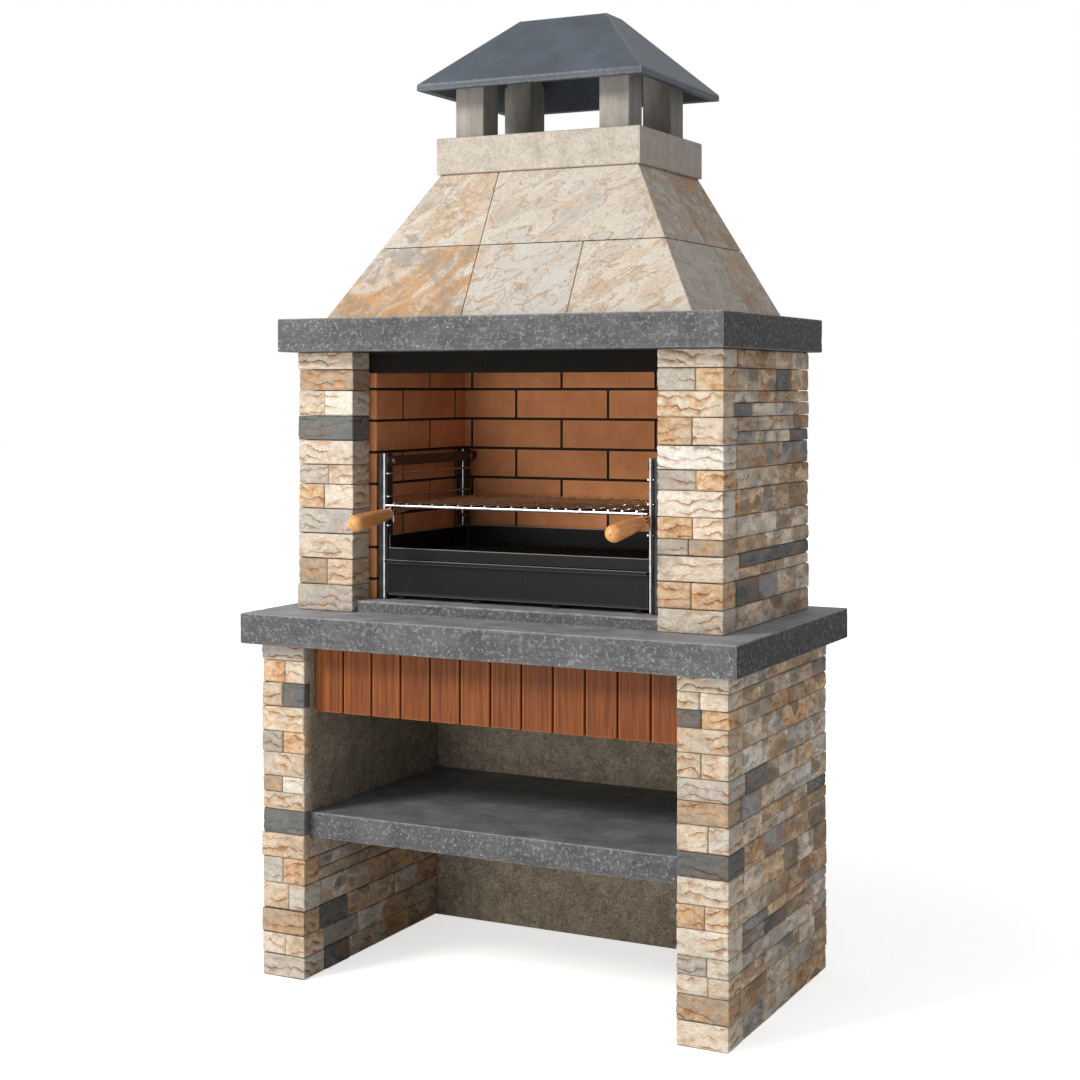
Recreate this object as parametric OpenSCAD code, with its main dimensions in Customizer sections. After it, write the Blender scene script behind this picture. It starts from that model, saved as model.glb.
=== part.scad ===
// Masonry barbecue: two stone-clad pillars carry a worktop, a brick-lined fire chamber,
// a tiled smoke hood and a capped chimney. X runs across, Y runs from the front to the back,
// Z is up, and the origin is on the floor under the middle of the worktop.

/* [Worktop] */
// Width of the worktop slab, the widest piece
counter_w = 1250; // [1230:5:1400]
// Depth of the worktop slab, from front to back
counter_d = 750; // [735:5:850]
// Thickness of the worktop slab
counter_t = 72; // [50:1:90]
// Height of the worktop above the floor
counter_top = 860; // [820:5:920]
// Eased edge of the cast slabs
slab_ease = 4; // [1:0.5:8]

/* [Lower pillars] */
// Width over the two lower pillars
pier_span = 1184; // [1160:2:1200]
// Thickness of each lower pillar
pier_t = 120; // [110:1:150]
// Depth of the pillars, from their stone face to the flush back
pier_d = 650; // [640:1:680]
// Overhang of the worktop in front of the lower pillars
pier_setback = 42; // [25:1:60]
// Thickness of the panel that closes the back
panel_t = 25; // [20:1:40]

/* [Shelf] */
// Height of the shelf's top face
shelf_top = 392; // [300:2:450]
// Thickness of the shelf
shelf_t = 60; // [40:1:70]
// Depth of the housing in each pillar that carries the shelf
shelf_housing = 20; // [12:1:24]

/* [Wooden fascia] */
// Number of upright boards under the worktop
slat_count = 12; // [8:1:16]
// Height of the boards
slat_h = 161; // [120:1:200]
// Thickness of the boards
slat_t = 18; // [12:1:24]
// Gap between two boards
slat_gap = 4.5; // [2:0.5:8]
// Bevel along the boards' long edges
slat_bevel = 2.5; // [1:0.5:4]
// Distance of the boards behind the pillar fronts
slat_setback = 45; // [30:1:60]
// Section of the rail that the boards are screwed to
rail_size = 40; // [25:1:60]
// Thickness of that rail
rail_t = 25; // [18:1:35]
// Leg of the angle brackets that hold the rail
bracket_leg = 30; // [20:1:40]

/* [Stone facing] */
// Thickness of the split stone facing
stone_t = 28; // [20:1:32]
// Open joint between two stones
stone_gap = 1.2; // [0.6:0.1:3]
// Pillowed edge round the face of a stone
stone_ease = 4; // [2:0.5:6]
// How far the stone faces stand back from each other, at most
stone_relief = 3.5; // [1:0.5:6]
// Usual length of a stone on the sides
stone_l = 128; // [90:1:200]
// Usual length of a corner stone's leg round the corner of a pillar
stone_leg = 88; // [70:1:120]
// Small chamfer on the outer edge of a corner stone
stone_arris = 2; // [1:0.5:3]
// Bands higher than this may be laid as two thin rows
stone_row_h = 55; // [45:1:80]
// Least height of a stone
stone_least_h = 14; // [12:1:18]

/* [Upper pillars] */
// Width over the two upper pillars
cheek_span = 1094; // [1080:2:1110]
// Thickness of each upper pillar
cheek_t = 155; // [140:1:165]
// Distance of the upper pillars behind the worktop's front edge
cheek_setback = 127; // [110:1:150]
// Height of the upper pillars
cheek_h = 617; // [610:1:680]
// Depth of the stone return inside the opening
jamb_d = 82; // [60:1:110]

/* [Fire chamber] */
// Clear width between the firebrick linings
chamber_w = 752; // [740:2:760]
// Thickness of the firebricks
liner_t = 25; // [20:1:30]
// Thickness of the slab behind the firebricks
back_slab_t = 27; // [20:1:40]
// Length of a firebrick
brick_l = 254; // [200:1:300]
// Height of a firebrick
brick_h = 70; // [55:1:90]
// Joint between two firebricks
brick_joint = 6; // [3:0.5:10]
// Depth to which the joints are raked out
joint_rake = 4; // [1:0.5:8]
// Thickness of the raised hearth slab
hearth_t = 27; // [20:1:40]
// Distance of the hearth slab behind the pillar fronts
hearth_setback = 15; // [5:1:30]
// Height of the steel smoke lintel
lintel_h = 50; // [30:1:70]
// Thickness of the steel smoke lintel
lintel_t = 6; // [3:1:8]

/* [Mantel] */
// Width of the mantel slab
mantel_w = 1137; // [1120:1:1180]
// Thickness of the mantel slab
mantel_t = 79; // [60:1:90]
// Overhang of the mantel slab in front of the upper pillars
mantel_front = 55; // [40:1:80]
// Overhang of the mantel slab behind the pillars
mantel_back = 35; // [5:1:50]
// Width of the smoke opening in the mantel slab
throat_w = 700; // [500:5:740]
// Depth of the smoke opening in the mantel slab
throat_d = 380; // [300:5:400]

/* [Smoke hood] */
// Width of the hood at its foot
hood_w = 944; // [900:2:1000]
// Height of the hood
hood_h = 352; // [300:2:450]
// Step between the mantel's front face and the hood
hood_front_step = 62; // [50:1:90]
// Step between the mantel's back face and the hood
hood_back_step = 5; // [2:1:20]
// Thickness of the stone tiles, measured level
tile_t = 20; // [12:1:25]
// Grout joint between two tiles
tile_gap = 2; // [1:0.5:5]
// Height of the lower row of tiles
tile_row = 171; // [120:1:220]
// Length of a whole tile
tile_l = 270; // [200:1:350]
// Place of the first upright tile joint, from the middle
tile_seam = -102; // [-150:1:-50]
// Thickness of the cast hood behind the tiles, measured level
hood_wall = 35; // [25:1:45]

/* [Chimney] */
// Width of the collar on the hood
collar_w = 540; // [500:2:600]
// Depth of the collar
collar_d = 380; // [350:2:400]
// Height of the collar
collar_h = 88; // [60:1:120]
// Overhang of the collar round the top of the hood
collar_over = 8; // [2:1:15]
// Width of the flue through the collar
flue_w = 300; // [240:2:304]
// Depth of the flue through the collar
flue_d = 160; // [120:2:176]
// Width of the cap's square legs
leg_w = 76; // [60:1:80]
// Distance of the legs from the collar's sides
leg_side = 40; // [20:1:44]
// Distance of the legs from the collar's front and back
leg_front = 26; // [10:1:30]
// Clear height between the collar and the eaves
leg_h = 110; // [80:1:150]
// Width of the cap at its eaves
cap_w = 592; // [570:2:640]
// Depth of the cap at its eaves
cap_d = 480; // [440:2:488]
// Height of the upright edge round the eaves
cap_edge = 15; // [10:1:25]
// Rise of the cap above that edge
cap_rise = 172; // [120:2:220]
// Width of the flat top of the cap
ridge_w = 235; // [180:1:280]
// Depth of the flat top of the cap
ridge_d = 88; // [60:1:120]
// Thickness of the cap
cap_wall = 18; // [12:1:24]

/* [Grill rack] */
// Distance of the rack's posts from the firebricks
post_gap = 8; // [5:1:14]
// Width of a post, across the barbecue
post_w = 25; // [18:1:30]
// Depth of a post
post_d = 25; // [18:1:30]
// Height of the posts above the hearth
post_h = 348; // [345:1:400]
// Sheet thickness of the posts
post_wall = 2; // [1.5:0.5:3]
// Distance from the front posts to the back posts
post_pitch = 382; // [360:1:388]
// Diameter of the upright chrome rods
rod_d = 6; // [5:0.5:8]
// Diameter of the rungs
rung_d = 5; // [4:0.5:5.5]
// Diameter of the cross pins that carry the rungs
pin_d = 6; // [6:0.5:8]
// Height of the top rung above the hearth
rung_high = 300; // [280:1:312]
// Height of the middle rung above the hearth
rung_mid = 245; // [240:1:260]
// Height of the pins of the cradle rung above the hearth
rung_low = 176; // [160:1:195]
// Height of the flat strap on top, at its middle
strap_z = 330; // [320:1:340]
// Depth of the flat strap
strap_h = 24; // [16:1:30]

/* [Grill] */
// Height of the grill's bars above the hearth
grill_z = 224; // [218:1:228]
// Distance from the front bar to the back bar
grill_d = 403; // [350:1:406]
// Diameter of the front bar
bar_d = 8; // [7.5:0.5:9]
// Diameter of the bent bar that makes the sides and the back
side_bar_d = 7; // [6.5:0.5:7.5]
// Diameter of the bars across the middle
cross_bar_d = 6; // [5.6:0.1:6.4]
// Diameter of the grill's wires
wire_d = 5; // [4:0.5:6]
// Number of wires
wire_count = 19; // [12:1:26]
// Clearance between the grill's frame and the posts, each side
grill_clear = 3; // [2:0.5:5]
// Length of the wooden handles
handle_l = 166; // [120:1:175]
// Diameter of the handles at their round tip
handle_d = 40; // [30:1:44]
// Diameter of the handles at their rear end
handle_rear_d = 27; // [20:1:28]
// Droop of the handles towards the cook
handle_droop = 5.5; // [3:0.5:6]
// Travel of the grill towards the cook
grill_travel = 300; // [200:5:330]

/* [Firebox] */
// Height of the feet under the firebox
foot_h = 10; // [6:1:15]
// Diameter of the feet
foot_d = 30; // [20:1:40]
// Sheet thickness of the firebox
sheet_t = 3; // [2:0.5:4]
// Height of the ash drawer's front, from the firebox floor to the tray
drawer_h = 84; // [70:1:95]
// Depth of the tray and the firebox, from front to back
tray_d = 388; // [360:1:400]
// Height of the tray's front above its floor
tray_front_h = 26; // [15:1:40]
// Height of the tray's other sides above its floor
tray_side_h = 56; // [40:1:70]
// Clearance of the firebox between the posts, each side
tray_clear = 3; // [2:0.5:6]
// Clearance of the drawer inside the firebox, each side
drawer_clear = 3; // [1:0.5:5]
// Depth of the folded grip along the drawer's front
grip_d = 13; // [8:1:18]
// Height of that grip
grip_h = 9; // [7:1:12]
// Travel of the ash drawer
drawer_travel = 280; // [200:5:300]
// Number of bars in the charcoal grate
grate_bars = 22; // [14:1:30]
// Width of the charcoal grate
grate_w = 560; // [450:5:600]
// Depth of the charcoal grate
grate_d = 300; // [220:5:320]
// Thickness of the charcoal grate
grate_t = 12; // [8:1:16]

/* [Hidden] */
$fn = 48;
// Gap that keeps pieces of different bodies apart
free = 0.3;
// Small overlap that lets a cut run out past a face
past = 1;

// Levels
counter_base = counter_top - counter_t;
shelf_base = shelf_top - shelf_t;
mantel_base = counter_top + cheek_h;
hood_base = mantel_base + mantel_t;
collar_base = hood_base + hood_h;
collar_top = collar_base + collar_h;
eaves_base = collar_top + leg_h;
hearth_top = counter_top + hearth_t;

// Places from front to back
pier_front = -counter_d / 2 + pier_setback;
back = pier_front + pier_d;
panel_front = back - panel_t;
cheek_front = -counter_d / 2 + cheek_setback;
jamb_back = cheek_front + jamb_d;
liner_back = back - back_slab_t;
chamber_back = liner_back - liner_t;
hearth_front = cheek_front + hearth_setback;
mantel_y0 = cheek_front - mantel_front;
mantel_y1 = back + mantel_back;
hood_y0 = mantel_y0 + hood_front_step;
hood_y1 = mantel_y1 - hood_back_step;
collar_y1 = back;
collar_y0 = collar_y1 - collar_d;
flue_y = (collar_y0 + collar_y1) / 2;

// Places across
pier_inner = pier_span / 2 - pier_t;
cheek_outer = cheek_span / 2;
cheek_inner = cheek_outer - cheek_t;
chamber_x = chamber_w / 2;
post_x1 = chamber_x - post_gap;
post_x0 = post_x1 - post_w;
rod_x = post_x0 + rod_d / 2;
rung_x = post_x0 - rung_d;

// The rack, from front to back: the rods stand in front of the pins, and the pins of the posts
rod_setback = 12;
rod_y = jamb_back - rod_setback;
pin_y = rod_y + rod_d / 2 + pin_d / 2;
post_y = pin_y + pin_d / 2;

// The grill: its bars run behind the ends of the front bar, and the handles' rods inside them
side_bar_inset = 1;
handle_inset = 8;
wire_inset = 25;
bar_lead = 2.5;
frame_x = post_x0 - grill_clear;
side_bar_x = frame_x - side_bar_d / 2 - side_bar_inset;
bar_y = rod_y - bar_lead;
bar_z = hearth_top + grill_z;
cradle_z = bar_z - side_bar_d / 2 - free - rung_d / 2;
handle_x = side_bar_x - handle_inset;
handle_rod_d = 5;
handle_rod_pitch = 8;
cross_bar_y = bar_y + grill_d / 3;
handle_gap = 2;
handle_rear_y = bar_y - bar_d / 2 - handle_gap;
handle_drop = 1.5;
handle_z = bar_z - bar_d / 2 - handle_rear_d / 2 - handle_drop;

// The firebox, whose tray and drawer start a little behind the rods
tray_setback = 8;
drawer_setback = 2.5;
casing_x = post_x0 - tray_clear;
casing_base = hearth_top + foot_h;
casing_floor = casing_base + sheet_t;
tray_base = casing_base + drawer_h + sheet_t;
tray_y0 = rod_y + tray_setback;
drawer_x = casing_x - sheet_t - drawer_clear;
drawer_y0 = rod_y + drawer_setback;
tray_floor = tray_base + sheet_t;

// Stone courses from the slab above them down: height, and stones on the front face
lower_left_courses = [[40, 1], [53, 2], [56, 2], [59, 1], [50, 2], [56, 1], [38, 2], [41, 1],
    [56, 1], [57, 1], [61, 2], [61, 2], [57, 1], [50, 2], [53, 1]];
lower_right_courses = [[38, 1], [38, 2], [38, 2], [53, 1], [53, 2], [48, 1], [50, 1], [57, 2],
    [54, 1], [58, 1], [51, 2], [58, 1], [40, 2], [41, 2], [55, 1], [56, 1]];
upper_left_courses = [[42, 1], [50, 1], [60, 2], [58, 1], [58, 1], [47, 2], [58, 2], [59, 1],
    [60, 1], [62, 2], [63, 1]];
upper_right_courses = [[42, 1], [50, 2], [57, 1], [61, 2], [53, 1], [45, 2], [58, 1], [47, 2],
    [36, 2], [57, 1], [58, 2], [53, 1]];

slab_grey = "#59595b";
concrete_grey = "#8a8578";
firebrick_tone = "#9c6238";
steel_black = "#2c2c2c";
chrome_tone = "#c9ccd0";
stone_tones = ["#d9cdb8", "#d9cdb8", "#cfc2aa", "#c08a50", "#b9b2a4", "#8a8a84", "#5c6066"];

// Adds up a list, and gives the running total at each of its steps
function running(list) = [for (i = 0, at = 0; i <= len(list);
    at = at + (i < len(list) ? list[i] : 0), i = i + 1) at];

// Shares a length out in proportion to a list, and gives the places of the cuts
function shares(list, length) =
    let (cuts = running(list))
    [for (c = cuts) c * length / cuts[len(list)]];

// Corner p of an outline, cut off by e towards a and towards b
function eased_corner(p, a, b, e) = e > 0 ? [p + e * a, p + e * b] : [p];

// Rectangle with its four corners eased
function eased_rect(w, h, e) = concat(
    eased_corner([0, 0], [0, 1], [1, 0], e),
    eased_corner([w, 0], [-1, 0], [0, 1], e),
    eased_corner([w, h], [0, -1], [-1, 0], e),
    eased_corner([0, h], [1, 0], [0, -1], e));

// Block from its lowest corner, with every edge eased
module eased_block(corner, size, e) {
    translate(corner)
        intersection() {
            linear_extrude(size[2])
                polygon(eased_rect(size[0], size[1], e));
            rotate([90, 0, 90])
                linear_extrude(size[0])
                    polygon(eased_rect(size[1], size[2], e));
            translate([0, size[1], 0])
                rotate([90, 0, 0])
                    linear_extrude(size[1])
                        polygon(eased_rect(size[0], size[2], e));
        }
}

// Plain block between two corners
module block(low, high) {
    translate(low)
        cube(high - low);
}

// Four-sided frustum: half width and the two depths at its foot and at its top
module frustum(half0, y00, y01, half1, y10, y11, z0, z1) {
    far = max(abs(y00), abs(y01), abs(y10), abs(y11)) + past;
    wide = max(half0, half1) + past;
    intersection() {
        translate([0, far, 0])
            rotate([90, 0, 0])
                linear_extrude(2 * far)
                    polygon([[-half0, z0], [half0, z0], [half1, z1], [-half1, z1]]);
        translate([-wide, 0, 0])
            rotate([90, 0, 90])
                linear_extrude(2 * wide)
                    polygon([[y00, z0], [y01, z0], [y11, z1], [y10, z1]]);
    }
}

// Round wire along points of the drawing plane. Each bend is a right angle of radius r.
module bent_wire(points, d, r) {
    last = len(points) - 1;
    run = [for (i = [0:last - 1]) (points[i + 1] - points[i]) / norm(points[i + 1] - points[i])];
    for (i = [0:last - 1]) {
        from = points[i] + run[i] * (i == 0 ? 0 : r);
        to = points[i + 1] - run[i] * (i == last - 1 ? 0 : r);
        rod([from[0], from[1], 0], [to[0], to[1], 0], d);
    }
    for (i = [1:last - 1]) {
        centre = points[i] + r * (run[i] - run[i - 1]);
        left = run[i - 1][0] * run[i][1] > run[i - 1][1] * run[i][0];
        first = left ? -run[i] : run[i - 1];
        translate([centre[0], centre[1], 0])
            rotate([0, 0, atan2(first[1], first[0])])
                rotate_extrude(angle = 90)
                    translate([r, 0])
                        circle(d = d);
    }
}

// Straight rod between two points of space
module rod(from, to, d) {
    v = to - from;
    translate(from)
        rotate([0, acos(v[2] / norm(v)), atan2(v[1], v[0])])
            cylinder(h = norm(v), d = d);
}

// Stone facing. In its own frame a wall runs along X with its face at y = 0 towards -Y.

// A list turned end for end
function turned(list) = [for (i = [len(list) - 1:-1:0]) list[i]];

// End of a stone in plan, from its back to its face, which stands back by p. At a corner of
// the pillar a leg turns round it, and elsewhere the end is a joint. way is 1 at the left
// end and -1 at the right.
function stone_end(x, way, p, leg) =
    let (g = stone_gap / 2)
    leg > 0
        ? [[x + way * stone_t, stone_t], [x + way * stone_t, leg - g],
            [x + way * (p + stone_ease), leg - g], [x + way * p, leg - g - stone_ease],
            [x + way * p, p + stone_arris], [x + way * (p + stone_arris), p]]
        : [[x + way * g, stone_t], [x + way * g, p + stone_ease],
            [x + way * (g + stone_ease), p]];

// Upright outline of an end, pillowed where a leg's face is
function stone_flank(x, way, p, leg, low, high) =
    leg > 0
        ? [[x + way * (p + stone_ease), low], [x + way * p, low + stone_ease],
            [x + way * p, high - stone_ease], [x + way * (p + stone_ease), high]]
        : [[x, low], [x, high]];

// One split stone with pillowed faces, between a and b, with a leg at either end or 0
module stone(a, b, z0, z1, left_leg, right_leg, seed) {
    luck = rands(0, 1, 2, seed);
    p = luck[0] * stone_relief;
    low = z0 + stone_gap / 2;
    high = z1 - stone_gap / 2;
    far = max(stone_t, left_leg, right_leg);
    color(stone_tones[floor(luck[1] * len(stone_tones))])
        intersection() {
            translate([0, 0, low])
                linear_extrude(high - low)
                    polygon(concat(stone_end(a, 1, p, left_leg),
                        turned(stone_end(b, -1, p, right_leg))));
            translate([a, 0, 0])
                rotate([90, 0, 90])
                    linear_extrude(b - a)
                        polygon([[far, low], [p + stone_ease, low], [p, low + stone_ease],
                            [p, high - stone_ease], [p + stone_ease, high], [far, high]]);
            translate([0, far, 0])
                rotate([90, 0, 0])
                    linear_extrude(far)
                        polygon(concat(stone_flank(a, 1, p, left_leg, low, high),
                            turned(stone_flank(b, -1, p, right_leg, low, high))));
        }
}

// One row of stones along a wall, with a leg at either end or 0
module stone_row(from, to, z0, z1, count, left_leg, right_leg, seed) {
    places = shares(rands(0.75, 1.35, count, seed), to - from);
    for (i = [0:count - 1])
        stone(from + places[i], from + places[i + 1], z0, z1, i == 0 ? left_leg : 0,
            i == count - 1 ? right_leg : 0, seed + 7 * i);
}

// Levels of the courses, from the top of the pillar down to its foot
function course_levels(courses, foot, top) =
    [for (s = shares([for (c = courses) c[0]], top - foot)) top - s];

// Length of the leg of each course's corner stone
function corner_legs(courses, seed) =
    [for (i = [0:len(courses) - 1]) stone_leg * rands(0.75, 1.25, 1, seed + i)[0]];

// The front of a pillar, with the corner stones' legs on its outer side and in the opening
module stone_front(width, courses, z, outer_legs, inner_legs, seed) {
    for (i = [0:len(courses) - 1])
        stone_row(0, width, z[i + 1], z[i], courses[i][1], outer_legs[i], inner_legs[i],
            seed + 100 * i);
}

// One band of a pillar's side. A high band may be laid as two thin rows.
module stone_band(from, to, z0, z1, seed) {
    luck = rands(0, 1, 3, seed);
    split = z1 - z0 > stone_row_h && luck[0] > 0.45;
    middle = z0 + (z1 - z0) * (0.4 + 0.2 * luck[1]);
    levels = split ? [z0, middle, z1] : [z0, z1];
    for (r = [0:len(levels) - 2])
        stone_row(from, to, levels[r], levels[r + 1],
            max(1, round((to - from) / stone_l + 1.4 * luck[2] - 0.7)), 0, 0, seed + 20 * r + 3);
}

// The outer side of a pillar, from its back to the legs of its corner stones
module stone_side(length, z, legs, seed) {
    for (i = [0:len(legs) - 1])
        stone_band(0, length - legs[i], z[i + 1], z[i], seed + 50 * i);
}

// The facing of a left lower pillar, seen from the front. The shelf's underside ends the
// facing of the inner side: a course that it cuts starts behind the front stone.
module lower_facing(courses, seed) {
    z = course_levels(courses, 0, counter_base);
    outer = corner_legs(courses, seed + 1);
    under = corner_legs(courses, seed + 2);
    inner = [for (i = [0:len(courses) - 1]) z[i] > shelf_base ? 0 : under[i]];
    translate([-pier_span / 2, pier_front, 0])
        stone_front(pier_t, courses, z, outer, inner, seed);
    translate([-pier_span / 2, back, 0])
        rotate([0, 0, -90])
            stone_side(pier_d, z, outer, seed + 11);
    translate([-pier_inner, pier_front, 0])
        rotate([0, 0, 90])
            for (i = [0:len(courses) - 1])
                if (shelf_base - z[i + 1] > stone_least_h)
                    stone_band(inner[i] > 0 ? inner[i] : stone_t, pier_d - panel_t, z[i + 1],
                        min(z[i], shelf_base), seed + 23 + 50 * i);
}

// The facing of a left upper pillar: its front stones return into the opening
module upper_facing(courses, seed) {
    z = course_levels(courses, counter_top, mantel_base);
    outer = corner_legs(courses, seed + 1);
    inner = [for (c = courses) jamb_d];
    translate([-cheek_outer, cheek_front, 0])
        stone_front(cheek_t, courses, z, outer, inner, seed);
    translate([-cheek_outer, back, 0])
        rotate([0, 0, -90])
            stone_side(back - cheek_front, z, outer, seed + 11);
}

module lower_left_stones() {
    lower_facing(lower_left_courses, 1000);
}

module lower_right_stones() {
    mirror([1, 0, 0])
        lower_facing(lower_right_courses, 3000);
}

module upper_left_stones() {
    upper_facing(upper_left_courses, 5000);
}

module upper_right_stones() {
    mirror([1, 0, 0])
        upper_facing(upper_right_courses, 7000);
}

// Cast core of a right lower pillar, with the seat of the shelf and of the inner facing
module lower_core() {
    color(concrete_grey)
        difference() {
            block([pier_inner, pier_front + stone_t, 0],
                [pier_span / 2 - stone_t, back, counter_base]);
            block([pier_inner - past, pier_front, -past],
                [pier_inner + stone_t, panel_front, shelf_base]);
            block([pier_inner - past, pier_front, shelf_base - past],
                [pier_inner + shelf_housing, panel_front, shelf_top]);
        }
}

module lower_left_core() {
    mirror([1, 0, 0])
        lower_core();
}

module lower_right_core() {
    lower_core();
}

module lower_back_panel() {
    color(concrete_grey)
        block([-pier_inner, panel_front, 0], [pier_inner, back, counter_base]);
}

module shelf_slab() {
    half = pier_inner + shelf_housing;
    color(slab_grey)
        eased_block([-half, pier_front + stone_t, shelf_base],
            [2 * half, panel_front - pier_front - stone_t, shelf_t], slab_ease);
}

module worktop_slab() {
    color(slab_grey)
        eased_block([-counter_w / 2, -counter_d / 2, counter_base],
            [counter_w, counter_d, counter_t], slab_ease);
}

// Wooden fascia under the worktop
slat_front = pier_front + slat_setback;
slat_pitch = 2 * pier_inner / slat_count;

module fascia_slats() {
    color("#a5622f")
        for (i = [0:slat_count - 1])
            translate([-pier_inner + i * slat_pitch + slat_gap / 2, slat_front, counter_base - slat_h])
                linear_extrude(slat_h)
                    polygon(concat(
                        eased_corner([0, 0], [0, 1], [1, 0], slat_bevel),
                        eased_corner([slat_pitch - slat_gap, 0], [-1, 0], [0, 1], slat_bevel),
                        [[slat_pitch - slat_gap, slat_t], [0, slat_t]]));
}

rail_y = slat_front + slat_t;
rail_top = counter_base - bracket_leg;

module fascia_rail() {
    color("#7c5230")
        block([-pier_inner + free, rail_y, rail_top - rail_size],
            [pier_inner - free, rail_y + rail_t, rail_top]);
}

// An angle at each end joins the rail's back to the pillar
module fascia_brackets() {
    leg_t = 3;
    color(chrome_tone)
        for (side = [-1, 1])
            scale([side, 1, 1])
                translate([pier_inner - bracket_leg, rail_y + rail_t, rail_top - rail_size])
                    linear_extrude(rail_size)
                        polygon([[0, 0], [bracket_leg, 0], [bracket_leg, bracket_leg],
                            [bracket_leg - leg_t, bracket_leg], [bracket_leg - leg_t, leg_t],
                            [0, leg_t]]);
}

// Cast core of a right upper pillar: it steps in behind the stone return to carry the firebricks
module upper_core() {
    color(concrete_grey)
        translate([0, 0, counter_top])
            linear_extrude(cheek_h)
                polygon([[cheek_inner + stone_t, cheek_front + stone_t],
                    [cheek_outer - stone_t, cheek_front + stone_t],
                    [cheek_outer - stone_t, back], [chamber_x + liner_t, back],
                    [chamber_x + liner_t, jamb_back], [cheek_inner + stone_t, jamb_back]]);
}

module upper_left_core() {
    mirror([1, 0, 0])
        upper_core();
}

module upper_right_core() {
    upper_core();
}

module upper_back_core() {
    color(concrete_grey)
        block([-chamber_x - liner_t, liner_back, counter_top],
            [chamber_x + liner_t, back, mantel_base]);
}

// Bricks of a wall as [start, end, foot, top], laid in half bond from a seam
function brick_list(length, height, seam) =
    let (pitch = brick_l + brick_joint, rise = brick_h + brick_joint)
    [for (k = [0:floor(height / rise)])
        let (first = seam - pitch * ceil(seam / pitch) - (k % 2 == 0 ? 0 : pitch / 2) - pitch)
        for (j = [0:ceil(length / pitch) + 2])
            let (a = max(0, first + j * pitch + brick_joint / 2),
                b = min(length, first + (j + 1) * pitch - brick_joint / 2),
                low = k * rise, high = min(height, k * rise + brick_h))
            if (b - a > brick_joint && high - low > 2 * brick_joint) [a, b, low, high]];

// Firebricks of a wall that faces -Y
module bricks(length, height, seam) {
    color(firebrick_tone)
        for (b = brick_list(length, height, seam))
            eased_block([b[0], 0, b[2]], [b[1] - b[0], liner_t, b[3] - b[2]], 1);
}

// Mortar between them, raked out at the face
module mortar(length, height, seam) {
    color("#2b221c")
        difference() {
            block([0, joint_rake, 0], [length, liner_t, height]);
            for (b = brick_list(length, height, seam))
                block([b[0], 0, b[2]], [b[1], liner_t + past, b[3]]);
        }
}

side_wall_l = chamber_back - jamb_back;
side_seam = 125;
back_wall_l = chamber_w + 2 * liner_t;
back_seam = back_wall_l / 2 + 37;

// Sets a wall on the left, the right or the back of the chamber
module on_left() {
    translate([-chamber_x, jamb_back, counter_top])
        rotate([0, 0, 90])
            children();
}

module on_right() {
    mirror([1, 0, 0])
        on_left()
            children();
}

module on_back() {
    translate([-back_wall_l / 2, chamber_back, counter_top])
        children();
}

module firebrick_left() {
    on_left()
        bricks(side_wall_l, cheek_h, side_seam);
}

module firebrick_right() {
    on_right()
        bricks(side_wall_l, cheek_h, side_seam);
}

module firebrick_back() {
    on_back()
        bricks(back_wall_l, cheek_h, back_seam);
}

module fire_mortar() {
    on_left()
        mortar(side_wall_l, cheek_h, side_seam);
    on_right()
        mortar(side_wall_l, cheek_h, side_seam);
    on_back()
        mortar(back_wall_l, cheek_h, back_seam);
}

// Raised hearth: wide between the stone returns, narrower between the firebricks
module hearth_slab() {
    wide = cheek_inner - free;
    narrow = chamber_x - free;
    color(slab_grey)
        intersection() {
            translate([0, 0, counter_top])
                linear_extrude(hearth_t)
                    polygon([[-wide, hearth_front], [wide, hearth_front],
                        [wide, jamb_back - free], [narrow, jamb_back - free],
                        [narrow, chamber_back - free], [-narrow, chamber_back - free],
                        [-narrow, jamb_back - free], [-wide, jamb_back - free]]);
            eased_block([-wide - past, hearth_front, counter_top - slab_ease],
                [2 * wide + 2 * past, chamber_back - hearth_front + slab_ease,
                    hearth_t + slab_ease], slab_ease / 2);
        }
}

// Steel angle that keeps the smoke in, behind the mantel's front
module smoke_lintel() {
    low = mantel_base - lintel_h;
    front = jamb_back - lintel_t - 2;
    color(steel_black)
        union() {
            block([-cheek_inner, front, low], [cheek_inner, front + lintel_t, mantel_base]);
            block([-chamber_x, front + lintel_t, low],
                [chamber_x, front + lintel_t + lintel_h / 2, low + lintel_t]);
        }
}

throat_y = (jamb_back + chamber_back) / 2;

module mantel_slab() {
    color(slab_grey)
        difference() {
            eased_block([-mantel_w / 2, mantel_y0, mantel_base],
                [mantel_w, mantel_y1 - mantel_y0, mantel_t], slab_ease);
            block([-throat_w / 2, throat_y - throat_d / 2, mantel_base - past],
                [throat_w / 2, throat_y + throat_d / 2, hood_base + past]);
        }
}

// The hood's outside: half width, front and back at a height
hood_half0 = hood_w / 2;
hood_half1 = collar_w / 2 - collar_over;
hood_top_y0 = collar_y0 + collar_over;
hood_top_y1 = collar_y1 - collar_over;
function hood_at(z, foot, top) = foot + (top - foot) * (z - hood_base) / hood_h;
function hood_half(z) = hood_at(z, hood_half0, hood_half1);
function hood_front(z) = hood_at(z, hood_y0, hood_top_y0);
function hood_back(z) = hood_at(z, hood_y1, hood_top_y1);

// The hood drawn in by a distance at the sides and the front, and another at the back
module hood_solid(inset, back_inset, run_out) {
    z0 = hood_base - run_out;
    z1 = collar_base + run_out;
    frustum(hood_half(z0) - inset, hood_front(z0) + inset, hood_back(z0) - back_inset,
        hood_half(z1) - inset, hood_front(z1) + inset, hood_back(z1) - back_inset, z0, z1);
}

module hood_body() {
    color("#b5aa98")
        difference() {
            hood_solid(tile_t + free, 0, 0);
            hood_solid(tile_t + hood_wall, hood_wall, past);
        }
}

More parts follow.
